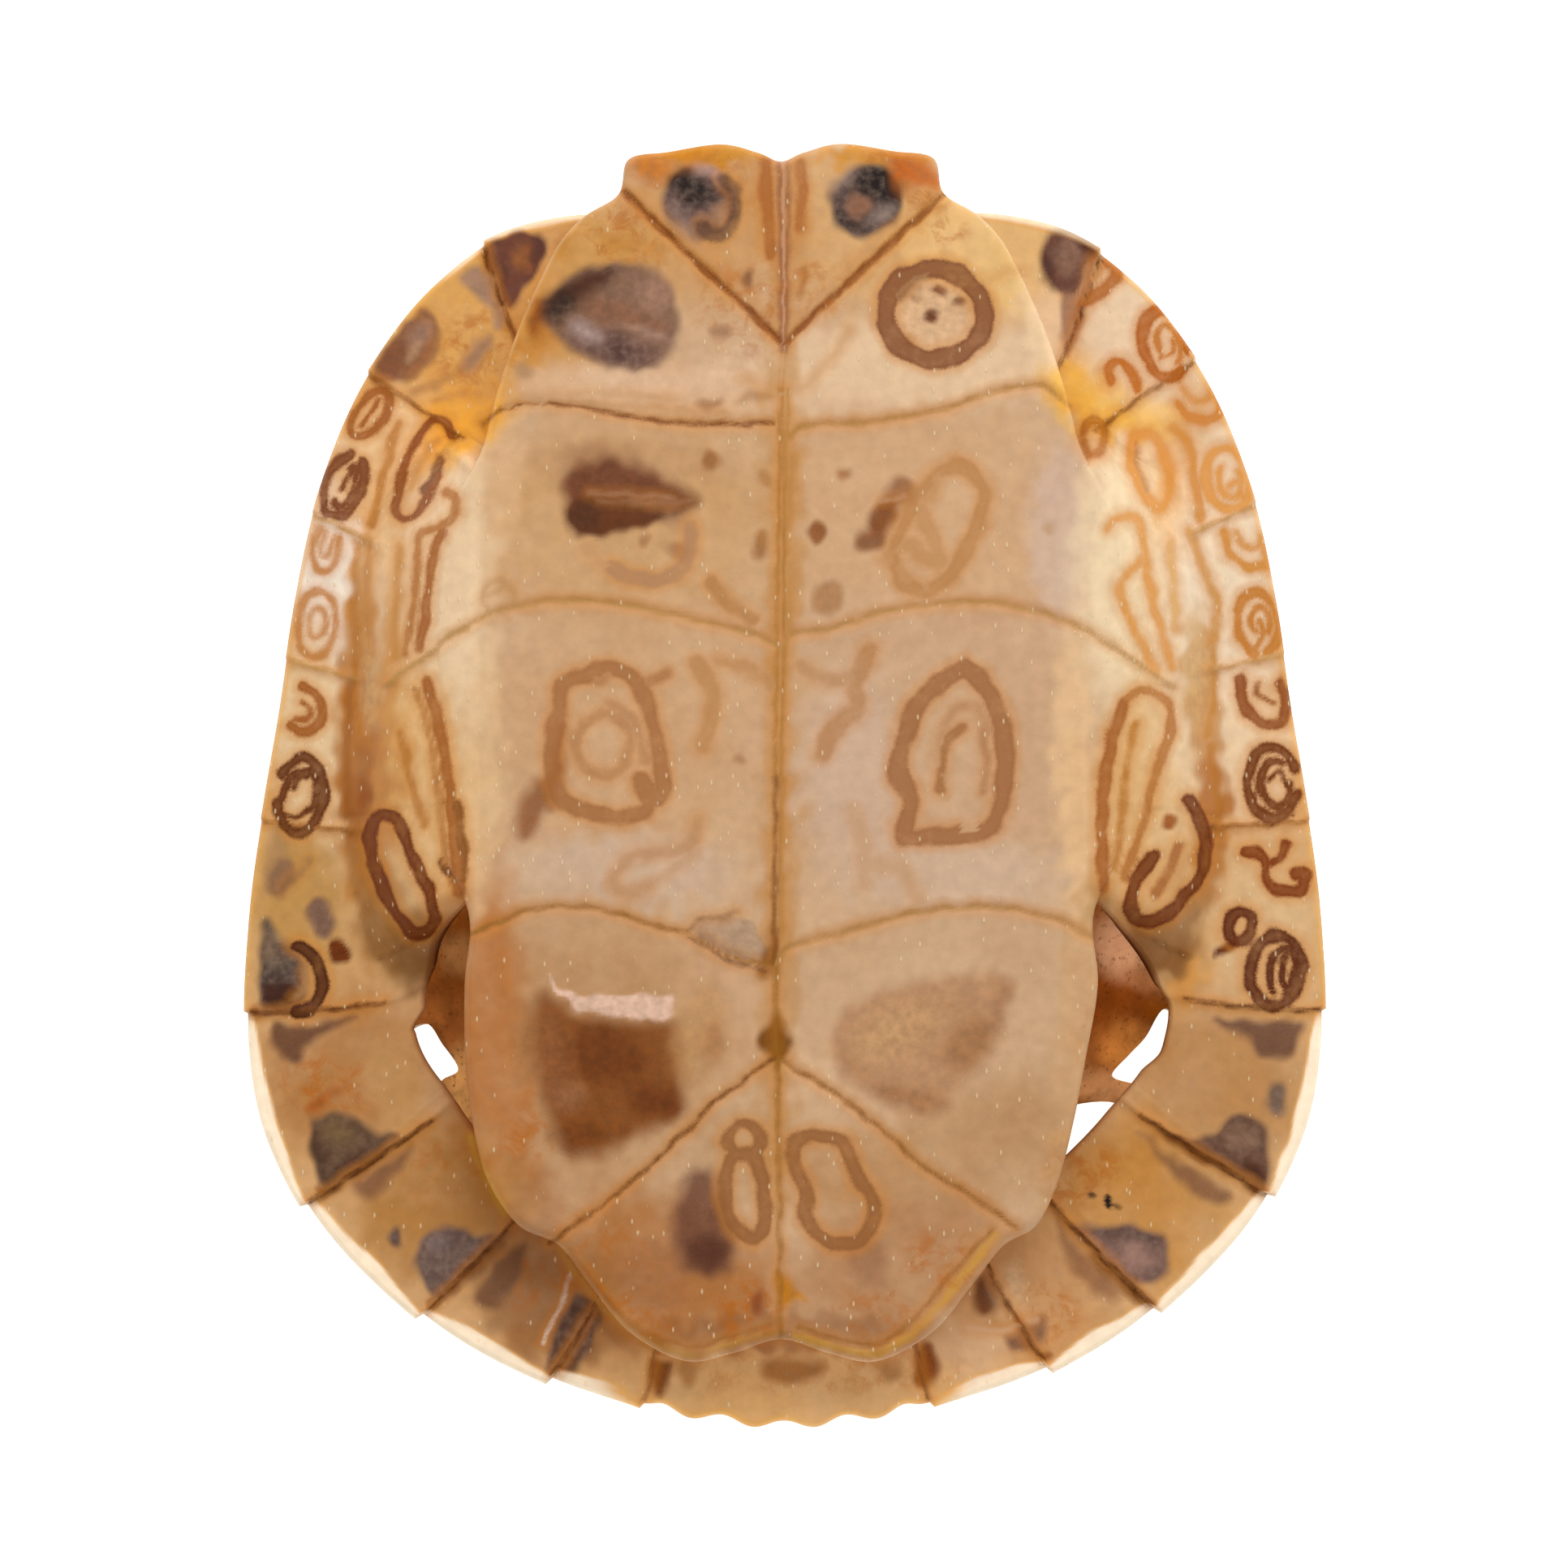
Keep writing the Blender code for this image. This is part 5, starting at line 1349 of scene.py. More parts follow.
def laid_blots(u, v, under, marks):
    """Colour and strength of the filled marks, laid in order with soft, slightly wandering edges."""
    colour, cover = under.copy(), np.zeros(len(u))
    for code, strength, soft, line in marks:
        near = near_line(line, u, v)
        if len(near) == 0:
            continue
        gap = far_from(line, u[near], v[near]) * MM_PER_PIXEL
        gap = np.where(is_inside(line, u[near], v[near]), -gap, gap)
        gap += 0.06 * lumps(u[near], v[near], 30.0, 3)
        share = strength * ease(soft, -soft, gap)
        total = share + cover[near] * (1 - share)
        blend = (share / np.maximum(total, 1e-6))[:, None]
        colour[near] += np.where(share[:, None] > 0, blend * (linear(code) - colour[near]), 0)
        cover[near] = total
    return np.column_stack([colour, cover])


def laid_lines(u, v, lines):
    """Colour and strength of the nearest line, and the distance in mm to its edge, negative inside it.

    A line grows wider and narrower along its way, by about a fifth of its width.
    """
    distance = np.full(len(u), NO_LINE)
    colour = np.zeros((len(u), 4))
    for code, strength, width, line in lines:
        near = near_line(line, u, v)
        if len(near) == 0:
            continue
        half = width * (0.5 + 0.09 * lumps(u[near], v[near], 55.0, 4))
        gap = (far_from(line, u[near], v[near]) - half) * MM_PER_PIXEL
        closer = gap < distance[near]
        distance[near[closer]] = gap[closer]
        colour[near[closer]] = (*linear(code), strength)
    return colour, distance


def store(piece, name, values):
    """Keep one value or one colour for each point of a piece's mesh."""
    kind, field = ("FLOAT_COLOR", "color") if values.ndim == 2 else ("FLOAT", "value")
    stored = piece.data.attributes.new(name, kind, "POINT").data
    stored.foreach_set(field, values.astype(np.float32).ravel())


def vectors(items, name):
    """One vector for each of a mesh's points or faces, by name: a place or a direction."""
    values = np.empty(3 * len(items))
    items.foreach_get(name, values)
    return values.reshape(-1, 3)


def points_of(piece):
    """All points of a piece's mesh, in mm."""
    return vectors(piece.data.vertices, "co") / MM


def from_picture(points, base, lines, glow=0.0, lit=0.0, marks=BLOTS):
    """The tones and marks of the picture on points: a table of values by name.

    The points wander a little first, the tones most and the lines least, so that nothing looks drawn. Glow
    is
    painted light: where it rises to 1, the tone turns amber and then cream and outshines the marks, as light
    coming through a thin edge would. Lit is painted light too: how strongly the horn glows, as if lit from
    below.
    """
    u, v = picture_point(points)
    wander = np.stack([3.0 * lumps(u, v, 34.0, 31), 3.0 * lumps(u, v, 34.0, 32)])
    tone = laid_tones(*(np.stack([u, v]) + 3 * wander), base, WASHES)
    # painted light: where the glow rises, the tone turns amber and then cream, and the filled marks fade
    # under it
    through_horn = np.reshape(glow, (-1, 1))
    tone += 0.7 * np.clip(through_horn * 2.5, 0, 1) * (linear("#E6A850") - tone)
    tone += ease(0.3, 0.9, through_horn) * (linear("#F9E4C6") - tone)
    blots = laid_blots(*(np.stack([u, v]) + wander), tone, marks)
    blots[:, 3] *= 1 - 0.8 * np.ravel(glow)
    colour, distance = laid_lines(*(np.stack([u, v]) + 0.6 * wander), lines)
    flecks = np.zeros(len(u))
    for strength, *shape in RUST:
        flecks = np.maximum(flecks, strength * oval_share(u, v, *shape))
    return {"tone": np.column_stack([tone, np.zeros(len(u)) + lit]), "blots": blots, "lines": colour,
            "line_mm": distance, "rust": flecks}


# %% The pattern of the back, which the picture doesn't show
DOME_LINES = []
OCHRE, DARK_OLIVE, SEAM_DARK = "#BF9C48", "#3A3018", "#2C2412"


def back_line(colour, width, *points, strength=0.85):
    """A line on the back, given in mm on the right half, and its mirror image on the left."""
    for side in (1, -1):
        line = rounded(np.array(points) * (side, 1), False) / MM_PER_PIXEL * (1, -1)
        DOME_LINES.append((colour, strength, width / MM_PER_PIXEL, line))


for front, rear in ((42.0, 27.0), (27.0, 8.6), (8.6, -10.2), (-10.2, -28.6), (-28.6, -41.0)):
    middle_y, long = (front + rear) / 2, front - rear
    back_line(OCHRE, 0.8, (2.0, front - 1.2), (4.4, middle_y + 0.2 * long), (4.6, middle_y - 0.2 * long),
              (2.2, rear + 1.2))
    back_line(OCHRE, 0.45, (6.2, middle_y + 0.28 * long), (7.6, middle_y), (6.0, middle_y - 0.28 * long),
              strength=0.7)
COSTALS = (((12.5, 33.5), (22.0, 32.0), (33.5, 29.0)), ((15.0, 9.4), (24.0, 10.2), (37.0, 10.8)),
           ((15.0, -11.4), (24.0, -12.8), (36.0, -15.4)), ((12.5, -30.0), (18.5, -32.6), (26.0, -36.5)))
for line in COSTALS:
    line = np.array(line)
    back_line(OCHRE, 1.5, *line)
    for offset in (-3.6, 3.6):
        back_line(OCHRE, 0.5, *(line + (0.4, offset)), strength=0.75)
        back_line(DARK_OLIVE, 0.7, *(line + (0.2, offset * 0.62)), strength=0.6)
    back_line(OCHRE, 0.45, line[0] + (0.4, 3.6), line[0] + (-1.6, 0.0), line[0] + (0.4, -3.6), strength=0.7)
for line in DOME_SEAMS:
    back_line(SEAM_DARK, 0.6, *line, strength=0.9)
for side, sign in (("left", -1), ("right", 1)):
    for number in range(12):
        front, rear = RIM_SEAMS[side][number:number + 2]
        for turn_at, colour, width, reach in (
                ((front + rear) / 2, OCHRE, 1.3, (0.825, 0.98)), (rear, SEAM_DARK, 0.6, (FLANK_EDGE, 1.0)),
                (0.22 * front + 0.78 * rear, DARK_OLIVE, 1.8, (FLANK_EDGE, 0.93))):
            at = sign * np.full(6, turn_at)
            line = polar(rim_radius(at) * np.linspace(*reach, 6), at)
            DOME_LINES.append((colour, 0.85, width / MM_PER_PIXEL, line / MM_PER_PIXEL * (1, -1)))
DOME_WASHES = [("#8A7440", 0.7, 0, 0, 90, 620, 0), ("#6E5C2C", 0.6, 330, -50, 130, 560, 0),
               ("#6E5C2C", 0.6, -330, -50, 130, 560, 0), ("#9A8046", 0.5, 450, 330, 120, 160, 30),
               ("#9A8046", 0.5, -450, 330, 120, 160, -30)]


def for_the_back(points):
    """Olive horn of the dome with ochre stripes and dark seams, on points: a table of values by name."""
    u, v = points[:, 0] / MM_PER_PIXEL, -points[:, 1] / MM_PER_PIXEL
    wander = np.stack([7.0 * lumps(u, v, 90.0, 41), 7.0 * lumps(u, v, 90.0, 42)])
    tone = laid_tones(*(np.stack([u, v]) + wander), "#7A6634", DOME_WASHES)
    height = ease(22.0, 30.0, points[:, 2])[:, None]
    tone += 0.55 * height * (linear("#B08A4A") - tone)
    colour, distance = laid_lines(*(np.stack([u, v]) + wander), DOME_LINES)
    none = np.zeros(len(u))
    return {"tone": np.column_stack([tone, none]), "blots": np.column_stack([tone, none]), "lines": colour,
            "line_mm": distance, "rust": none + 0.15}


# %% Tones of the bare bone that shows through the openings
# The second wash is paler than the bone itself: painted light that lifts the shade inside the right-hand
# opening.
BONE_WASHES = [("#8E4A12", 0.9, 1360, 1235, 60, 50, 0), ("#E4B488", 0.9, 1385, 1165, 40, 42, 0),
               ("#B88050", 0.85, 1408, 1206, 24, 16, 20), ("#D08A40", 0.95, 1385, 1288, 34, 30, -45),
               ("#D29A62", 0.95, 1362, 1340, 60, 20, 8), ("#A05806", 0.8, 1424, 1246, 16, 12, -40),
               ("#8E5016", 0.9, 560, 1170, 40, 60, 0), ("#A87A46", 0.85, 566, 1176, 26, 28, 0),
               ("#B87434", 0.9, 540, 1246, 16, 16, 0), ("#DCA864", 0.95, 580, 1335, 36, 50, 0)]


def bone_tones(points):
    """The bone's broad tones, brown with paler patches, laid like the tones of the horn."""
    tones = laid_tones(*picture_point(points), "#9A5E2A", BONE_WASHES)
    return np.column_stack([tones, np.ones(len(points))])


# %% Painting the pieces
def paint(piece, *parts):
    """Store each named value on the piece's points, taking it for each part from that part's table."""
    count = len(piece.data.vertices)
    for name in ("tone", "blots", "lines", "line_mm", "rust"):
        first = parts[0][1][name]
        values = np.zeros((count,) + first.shape[1:]) + (NO_LINE if name == "line_mm" else 0)
        for where, table in parts:
            values[where] = table[name]
        store(piece, name, values)
    print(f"{piece.name}: painted {sum(int(np.sum(where)) for where, _ in parts)} points")


HORN_BELOW, HORN_PLASTRON = "#D8A66E", "#D2A880"
BRIDGE_FROM, BRIDGE_TO = 48, 118               # degrees: before and after them the lobes stand over the rim
rows, columns = rim_grid.shape[:2]
first, last = first_lip - 1, last_lip + 1
row = np.repeat(np.arange(rows), columns)
points = rim_grid.reshape(-1, 3)
band = rim_grid[first:last]
band_angle = np.abs(turn_of(band[..., 0], band[..., 1]))
band_in = np.concatenate([np.zeros((1, columns)), lip_in, lip_in[-1:]])
plate_share = along_plate(np.concatenate([turn_of_rim[None], lip_turn, lip_turn[-1:]]), band_in)[1]
# Painted light round the rim: the glow turns the outer edge amber, then cream, and makes it shine at the
# tail and the front corners, with a faint bright line all round, as light from the table coming through thin
# horn would. Lit also makes the tail's plates glow, which lifts the shade under the plastron's rear lobe.
rear_glow = ease(110.0, 115.0, band_angle) * ease(168.0, 160.0, band_angle)
front_glow = 0.55 * ease(36.0, 30.0, band_angle) * ease(14.0, 20.0, band_angle)
glow_width = 0.5 + 0.6 * np.sin(np.pi * plate_share) + 0.12 * lumps(band[..., 0], band[..., 1], 5.0, 51)
glow_width *= np.where(band_angle < 60, 0.5, 1.0)
glow = np.maximum(rear_glow, front_glow) * ease(glow_width + 0.35, glow_width - 0.2, band_in)
glow += 0.3 * ease(0.6, 0.2, band_in) * (1 - np.maximum(rear_glow, front_glow))
lit = np.maximum(0.35 * glow, 0.6 * ease(140.0, 172.0, band_angle))
below = (row >= first) & (row < last)
back = row < first

# The lobes of the plastron hide part of the rim, which keeps its own seams there and takes none of their
# marks.
lobes = np.column_stack([outline * 0.985, np.full(len(outline), HEIGHT)])
lobes = np.column_stack(picture_point(lobes))[::6]
angle = np.abs(turn_of(points[:, 0], points[:, 1]))
hidden = below & ((angle < BRIDGE_FROM) | (angle > BRIDGE_TO))
hidden &= is_inside(np.concatenate([lobes, lobes[:1]]), *picture_point(points))
shown, seen = below & ~hidden, ~hidden[below]
glow, lit = np.clip(glow, 0, 1).ravel(), lit.ravel()
paint(rim_piece, (shown, from_picture(points[shown], HORN_BELOW, LINES + RIM_LINES, glow[seen], lit[seen])),
      (hidden, from_picture(points[hidden], HORN_BELOW, RIM_LINES, 0.0, lit[~seen], [])),
      (back, for_the_back(points[back])))
points = points_of(plastron_piece)
paint(plastron_piece, (points[:, 2] > 0, from_picture(points, HORN_PLASTRON, LINES)))
points = points_of(dome_piece)
paint(dome_piece, (points[:, 2] > -1, for_the_back(points)))

# %% [markdown]
# ## The finishes
#
# The outside is keratin, the horn of scales and nails: plates a few tenths of a millimetre thick over thin
# bone. It was grown wet and dried in air. To the eye that gives a satin surface with a fine grain, some
# light let in, and a mottle where bone lies close below. The marks are pigment in it, whose edges break up
# into grains, with an amber stain beside the lines and a grey dusty bloom on the darkest, slate-coloured
# Rusty flecks from old dirt lie between the marks, and tiny pale pimples stand a little proud, pale partly
# by their own colour and partly as a painted highlight. The inside is bare bone, dried and brown, dull and
# porous, with a faint painted glow of its own. Both could be painted as images, but patterns of nodes stay
# sharp from near by.
#
# A pattern's scale says how many of its cells fit in a metre, so it is worked out from the real size of
# one.

# %% Helpers for finishes
def finish(name):
    """A new material and its shader."""
    material = bpy.data.materials.new(name)
    material.use_nodes = True
    return material, material.node_tree.nodes["Principled BSDF"]


def add(tree, kind, inputs, **settings):
    """Add one node with its settings. Each input takes a value, another node's socket, or a whole node.

    A node stands for the first of its outputs that its settings leave in use.
    """
    new = tree.nodes.new("ShaderNode" + kind)
    for key, value in settings.items():
        setattr(new, key, value)
    for key, value in inputs.items():
        if isinstance(value, bpy.types.Node):
            value = next(output for output in value.outputs if output.enabled)
        if isinstance(value, bpy.types.NodeSocket):
            tree.links.new(value, new.inputs[key])
        else:
            new.inputs[key].default_value = value
    return new


def colour_of(code):
    """A hex colour as a node's colour value."""
    return (*linear(code), 1.0)


def cells_of(size):
    """The scale of a pattern whose cells are so many mm wide."""
    return 1 / (size * MM)


# %% Horn below
def horn_below():
    """Horn that the picture shows: tones, filled marks, lines, rusty flecks, specks and a fine grain."""
    material, shader = finish("keratin_horn_plastron")
    tree = material.node_tree
    place = add(tree, "TexCoord", {}).outputs["Object"]
    # clouds of colour, the mottle of bone below, and grains of pigment, drawn coarser than real ones to show
    cloud = add(tree, "TexNoise", {"Vector": place, "Scale": cells_of(5.263), "Detail": 4.0}).outputs["Fac"]
    mottle = add(tree, "TexNoise", {"Vector": place, "Scale": cells_of(1.111),
                                    "Detail": 3.0}).outputs["Fac"]
    grain = add(tree, "TexNoise", {"Vector": place, "Scale": cells_of(0.1538),
                                   "Detail": 2.0}).outputs["Fac"]
    mix = {"data_type": "RGBA"}

    light_cloud = add(tree, "MapRange", {0: cloud, 1: 0.4, 2: 0.7, 3: 0.0, 4: 0.14})
    tone = add(tree, "Attribute", {}, attribute_name="tone")
    clouded = add(tree, "Mix", {0: light_cloud, 6: tone.outputs["Color"], 7: colour_of("#F2D6B0")}, **mix)
    depth = add(tree, "MapRange", {0: mottle, 1: 0.3, 2: 0.7, 3: 0.9, 4: 1.02})
    mottled = add(tree, "VectorMath", {0: clouded, 1: depth}, operation="MULTIPLY")

    # the filled marks: pigment in patches with grainy edges, and a dusty grey bloom where slate is darkest
    blots = add(tree, "Attribute", {}, attribute_name="blots")
    patches = add(tree, "TexNoise", {"Vector": place, "Scale": cells_of(0.6667),
                                     "Detail": 5.0}).outputs["Fac"]
    uneven = add(tree, "Math", {0: patches, 1: 0.2, 2: blots.outputs["Alpha"]}, operation="MULTIPLY_ADD")
    edge = add(tree, "Math", {0: grain, 1: 0.16, 2: uneven}, operation="MULTIPLY_ADD")
    cover = add(tree, "MapRange", {0: edge, 1: 0.2, 2: 1.12, 3: 0.0, 4: 1.0})
    smoke = add(tree, "Math", {0: mottle, 1: 0.8, 2: patches}, operation="MULTIPLY_ADD")
    shade = add(tree, "MapRange", {0: smoke, 1: 0.7, 2: 1.1, 3: 0.86, 4: 1.14})
    pigment = add(tree, "VectorMath", {0: blots.outputs["Color"], 1: shade}, operation="MULTIPLY")
    parts = add(tree, "SeparateColor", {0: blots.outputs["Color"]}, mode="HSV")
    slaty = add(tree, "MapRange", {0: parts.outputs[1], 1: 0.79, 2: 0.68, 3: 0.0, 4: 1.0})
    dark = add(tree, "MapRange", {0: parts.outputs[2], 1: 0.3, 2: 0.15, 3: 0.0, 4: 0.24})
    dark_slate = add(tree, "Math", {0: slaty, 1: dark}, operation="MULTIPLY")
    bloom = add(tree, "MapRange", {0: patches, 1: 0.42, 2: 0.7, 3: 0.0, 4: 1.0})
    bloom_share = add(tree, "Math", {0: bloom, 1: dark_slate}, operation="MULTIPLY")
    bloomed = add(tree, "Mix", {0: bloom_share, 6: pigment, 7: colour_of("#A48A76")}, **mix)
    blotted = add(tree, "Mix", {0: cover, 6: mottled, 7: bloomed}, **mix)
    unmarked = add(tree, "MapRange", {0: cover, 1: 0.6, 2: 0.2, 3: 0.0, 4: 1.0})

    # the lines: a rough edge, an amber halo beside it, and stretches where the pigment is worn and paler
    lines = add(tree, "Attribute", {}, attribute_name="lines")
    away_mm = add(tree, "Attribute", {}, attribute_name="line_mm").outputs["Fac"]
    rough_edge = add(tree, "Math", {0: grain, 1: 0.3, 2: away_mm}, operation="MULTIPLY_ADD")
    wavy_edge = add(tree, "Math", {0: mottle, 1: 0.35, 2: rough_edge}, operation="MULTIPLY_ADD")
    outer = add(tree, "Math", {0: lines.outputs["Alpha"], 1: -0.45, 2: 0.955}, operation="MULTIPLY_ADD")
    inner = add(tree, "Math", {0: lines.outputs["Alpha"], 1: 0.45, 2: -0.305}, operation="MULTIPLY_ADD")
    line = add(tree, "MapRange", {0: wavy_edge, 1: outer, 2: inner, 3: 0.0, 4: 1.0},
               interpolation_type="SMOOTHSTEP")
    halo = add(tree, "MapRange", {0: wavy_edge, 1: 1.2, 2: 0.4, 3: 0.0, 4: 0.5})
    drift = add(tree, "TexNoise", {"Vector": place, "Scale": cells_of(2.326), "Detail": 3.0}).outputs["Fac"]
    faded = add(tree, "Math", {0: drift, 1: 1.4, 2: patches}, operation="MULTIPLY_ADD")
    palest = add(tree, "Math", {0: lines.outputs["Alpha"], 1: 0.6, 2: 0.2}, operation="MULTIPLY_ADD")
    paler = add(tree, "MapRange", {0: faded, 1: 1.15, 2: 1.6, 3: 1.0, 4: palest})
    strength = add(tree, "Math", {0: line, 1: lines.outputs["Alpha"]}, operation="MULTIPLY")
    worn = add(tree, "Math", {0: strength, 1: paler}, operation="MULTIPLY")
    glow_share = add(tree, "Math", {0: halo, 1: lines.outputs["Alpha"]}, operation="MULTIPLY")
    haloed = add(tree, "Mix", {0: glow_share, 6: blotted, 7: colour_of("#CC7E24")}, **mix)
    core = add(tree, "MapRange", {0: wavy_edge, 1: 0.2, 2: -0.1, 3: 0.0, 4: 0.12})
    stained = add(tree, "Mix", {0: core, 6: lines.outputs["Color"], 7: haloed}, **mix)
    lined = add(tree, "Mix", {0: worn, 6: haloed, 7: stained}, **mix)

    # rusty veins where dirt has stained the horn between the marks
    rust_here = add(tree, "Attribute", {}, attribute_name="rust").outputs["Fac"]
    veins = add(tree, "TexNoise", {"Vector": place, "Scale": cells_of(1.667), "Detail": 6.0,
                                   "Distortion": 0.5, "Roughness": 0.65})
    rusty = add(tree, "MapRange", {0: veins.outputs["Fac"], 1: 0.47, 2: 0.62, 3: 0.0, 4: 0.8})
    rust_free = add(tree, "Math", {0: rust_here, 1: unmarked}, operation="MULTIPLY")
    rust_share = add(tree, "Math", {0: rusty, 1: rust_free}, operation="MULTIPLY")
    rusted = add(tree, "Mix", {0: rust_share, 6: lined, 7: colour_of("#B4620E")}, **mix)

    # pale pimples about a quarter of a millimetre wide, longer one way, pale partly by their own colour and
    # partly as a painted highlight on each
    turned = add(tree, "Mapping", {"Vector": place, "Rotation": (0.0, 0.0, 0.6), "Scale": (1.6, 0.7, 1.0)})
    cells = add(tree, "TexVoronoi", {"Vector": turned, "Scale": cells_of(0.9524), "Randomness": 1.0})
    dot = add(tree, "MapRange", {0: cells.outputs["Distance"], 1: 0.21, 2: 0.1, 3: 0.0, 4: 1.0})
    chosen = add(tree, "Math", {0: cells.outputs["Color"], 1: 0.6}, operation="GREATER_THAN")
    free = add(tree, "Math", {0: chosen, 1: unmarked}, operation="MULTIPLY")
    pimple = add(tree, "Math", {0: dot, 1: free}, operation="MULTIPLY")
    pimple_and_highlight_share = add(tree, "Math", {0: pimple, 1: 0.55}, operation="MULTIPLY")
    speckled = add(tree, "Mix", {0: pimple_and_highlight_share, 6: rusted, 7: colour_of("#F4D8AC")}, **mix)
    tree.links.new(speckled.outputs[2], shader.inputs["Base Color"])

    gloss = add(tree, "MapRange", {0: mottle, 1: 0.3, 2: 0.7, 3: 0.36, 4: 0.55})
    tree.links.new(gloss.outputs[0], shader.inputs["Roughness"])
    fine = add(tree, "Bump", {"Strength": 0.25, "Distance": 0.0001, "Height": patches})
    finer = add(tree, "Bump", {"Strength": 0.5, "Distance": 0.00012, "Height": pimple, "Normal": fine})
    finest = add(tree, "Bump", {"Strength": 0.2, "Distance": 0.00003, "Height": grain, "Normal": finer})
    tree.links.new(finest.outputs[0], shader.inputs["Normal"])
    # painted light: the horn glows with its own colour, by half the lit value kept in the tone's alpha, at
    # the rim's edge and the tail's plates
    lit = add(tree, "Math", {0: tone.outputs["Alpha"], 1: 0.5}, operation="MULTIPLY")
    tree.links.new(lit.outputs[0], shader.inputs["Emission Strength"])
    tree.links.new(speckled.outputs[2], shader.inputs["Emission Color"])
    shader.inputs["IOR"].default_value = 1.54
    shader.inputs["Specular IOR Level"].default_value = 0.08
    shader.inputs["Subsurface Weight"].default_value = 0.05
    shader.inputs["Subsurface Radius"].default_value = (1.0, 0.6, 0.35)
    shader.inputs["Subsurface Scale"].default_value = 0.0012
    return material


# %% Bare bone inside
def bare_bone():
    """Inner side of the shell: brown bone with pores and darker stains, dull, a little rough, and glowing a
    little as painted light.
    """
    material, shader = finish("dried_bone_inside")
    tree = material.node_tree
    place = add(tree, "TexCoord", {}).outputs["Object"]
    # stains, the fine grain of dried bone, and pores
    stain = add(tree, "TexNoise", {"Vector": place, "Scale": cells_of(3.846), "Detail": 5.0,
                                   "Roughness": 0.6})
    fine = add(tree, "TexNoise", {"Vector": place, "Scale": cells_of(0.5882), "Detail": 4.0})
    pores = add(tree, "TexVoronoi", {"Vector": place, "Scale": cells_of(0.9091)})
    mix = {"data_type": "RGBA"}
    stained = add(tree, "MapRange", {0: stain.outputs["Fac"], 1: 0.36, 2: 0.64, 3: 0.0, 4: 1.0})
    broad = add(tree, "Attribute", {}, attribute_name="bone_tone").outputs["Color"]
    depth = add(tree, "MapRange", {0: stained, 1: 0.0, 2: 1.0, 3: 0.72, 4: 1.25})
    brown = add(tree, "VectorMath", {0: broad, 1: depth}, operation="MULTIPLY")
    speck = add(tree, "MapRange", {0: fine.outputs["Fac"], 1: 0.58, 2: 0.72, 3: 0.0, 4: 0.5})
    mixed = add(tree, "Mix", {0: speck, 6: brown, 7: colour_of("#5A2808")}, **mix)
    hole = add(tree, "MapRange", {0: pores.outputs["Distance"], 1: 0.14, 2: 0.06, 3: 0.0, 4: 0.6})
    pitted = add(tree, "Mix", {0: hole, 6: mixed, 7: colour_of("#3E1A06")}, **mix)
    tree.links.new(pitted.outputs[2], shader.inputs["Base Color"])
    dull = add(tree, "MapRange", {0: fine.outputs["Fac"], 1: 0.3, 2: 0.7, 3: 0.6, 4: 0.85})
    tree.links.new(dull.outputs[0], shader.inputs["Roughness"])
    low = add(tree, "Bump", {"Strength": 0.5, "Distance": 0.0002, "Height": fine.outputs["Fac"]})
    deep = add(tree, "Bump", {"Strength": 0.5, "Distance": 0.0003, "Height": pores.outputs["Distance"],
                              "Normal": low})
    tree.links.new(deep.outputs[0], shader.inputs["Normal"])
    # painted light: the bone glows faintly with its own colour, which lifts the shade inside the shell
    tree.links.new(pitted.outputs[2], shader.inputs["Emission Color"])
    shader.inputs["Emission Strength"].default_value = 0.4
    shader.inputs["IOR"].default_value = 1.55
    shader.inputs["Specular IOR Level"].default_value = 0.25
    return material


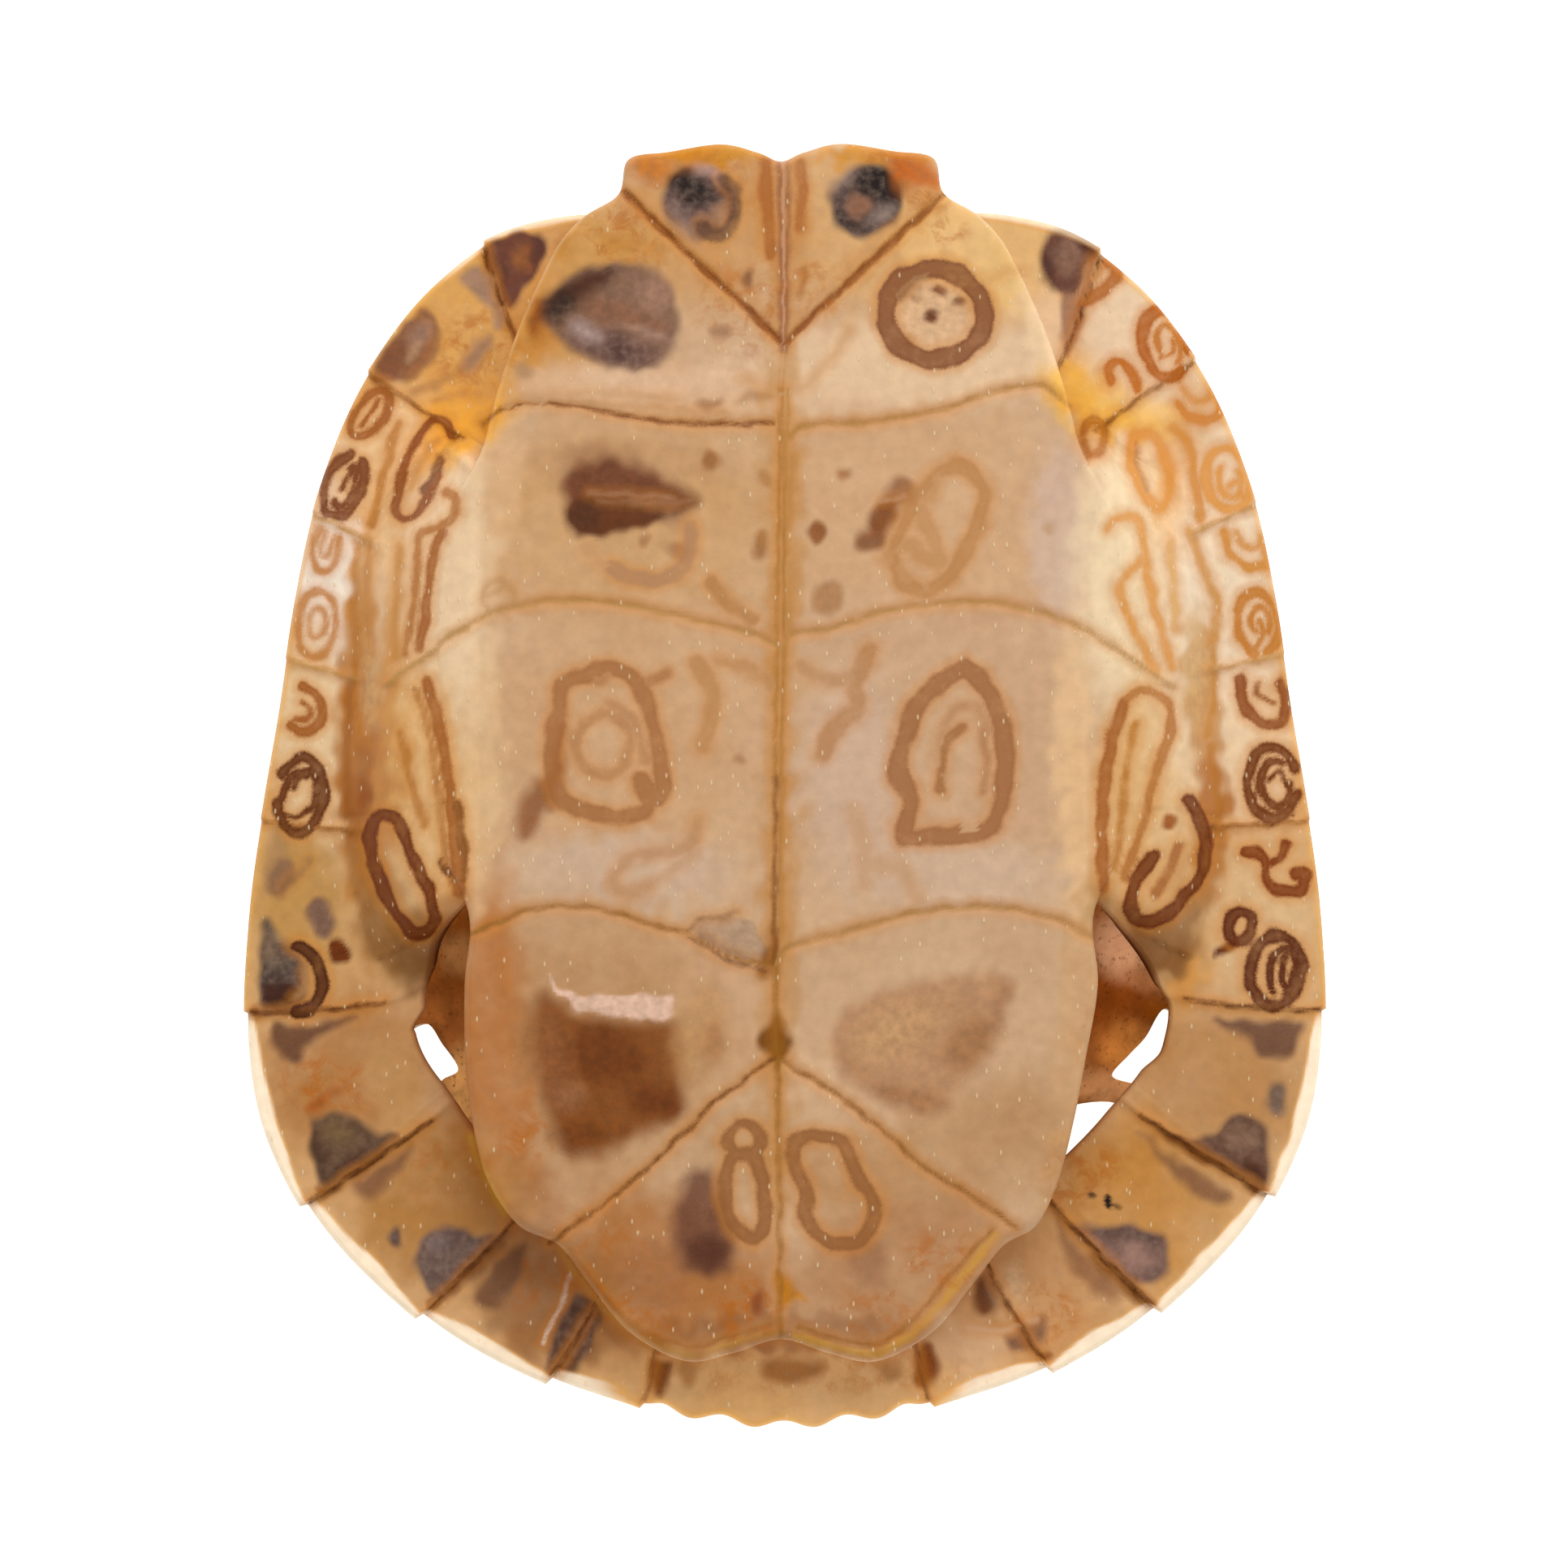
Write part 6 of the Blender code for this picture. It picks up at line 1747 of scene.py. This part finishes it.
# Horn covers each piece outside, and the faces that look inwards are bare bone, like the whole of the
# props.
horn, bone = horn_below(), bare_bone()
for piece in bpy.data.objects:
    if piece.type != "MESH" or "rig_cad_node" in piece:
        continue
    mesh = piece.data
    store(piece, "bone_tone", bone_tones(points_of(piece)))
    mesh.materials.clear()
    if "tone" not in mesh.attributes:
        mesh.materials.append(bone)
        continue
    mesh.materials.append(horn)
    mesh.materials.append(bone)
    up_face, high = vectors(mesh.polygons, "normal")[:, 2], vectors(mesh.polygons, "center")[:, 2] / MM
    if piece == dome_piece:
        bare = up_face > 0
    elif piece == plastron_piece:
        bare = (up_face < -0.5) & (high < HEIGHT - PLATE_WALL + 0.2)
    else:
        ring_row = np.arange(len(mesh.polygons)) // columns
        bare = ring_row >= last
    mesh.polygons.foreach_set("material_index", bare.astype(np.int32))
    print(piece.name, "bare bone faces:", int(bare.sum()), "of", len(bare))
horn.cycles.emission_sampling = bone.cycles.emission_sampling = "NONE"

# %% [markdown]
# ## Floor, light and the end
#
# The shell lies on a light table of white acrylic, which shines a little of its own, so that the ground
# stays white to the edges of the picture and the thin parts of the rim glow. A large soft lamp stands high
# beyond the head end, and the white room fills the shadows. The table could be modelled with its frame and
# lamps, but one wide bright plane gives the same light. The Standard view shows each colour as it was
# mixed.

# %% Floor and light
mesh = bpy.data.meshes.new("floor")
mesh.from_pydata([(-2, -2, 0), (2, -2, 0), (2, 2, 0), (-2, 2, 0)], [], [(0, 1, 2, 3)])
floor = bpy.data.objects.new("floor", mesh)
bpy.context.scene.collection.objects.link(floor)
acrylic, shader = finish("white_acrylic_light_table")
shader.inputs["Base Color"].default_value = colour_of("#F4F4F4")
shader.inputs["Emission Color"].default_value = colour_of("#FFFFFF")
shader.inputs["Emission Strength"].default_value = 0.8
floor.data.materials.append(acrylic)
world = bpy.data.worlds.new("studio")
bpy.context.scene.world = world
world.use_nodes = True
world.node_tree.nodes["Background"].inputs["Color"].default_value = colour_of("#FFFFFF")
world.node_tree.nodes["Background"].inputs["Strength"].default_value = 0.5
LAMP_AT = Vector((0.08, 0.4, 0.68))
lamp = bpy.data.objects.new("key", bpy.data.lights.new("key", "AREA"))
lamp.data.energy = 3.6
lamp.data.size = 0.5
lamp.location = LAMP_AT
lamp.rotation_euler = LAMP_AT.to_track_quat("Z", "Y").to_euler()
bpy.context.scene.collection.objects.link(lamp)
bpy.context.scene.view_settings.view_transform = "Standard"
print("lamp, watts:", round(lamp.data.energy, 1), "and its distance, m:", round(LAMP_AT.length, 2))
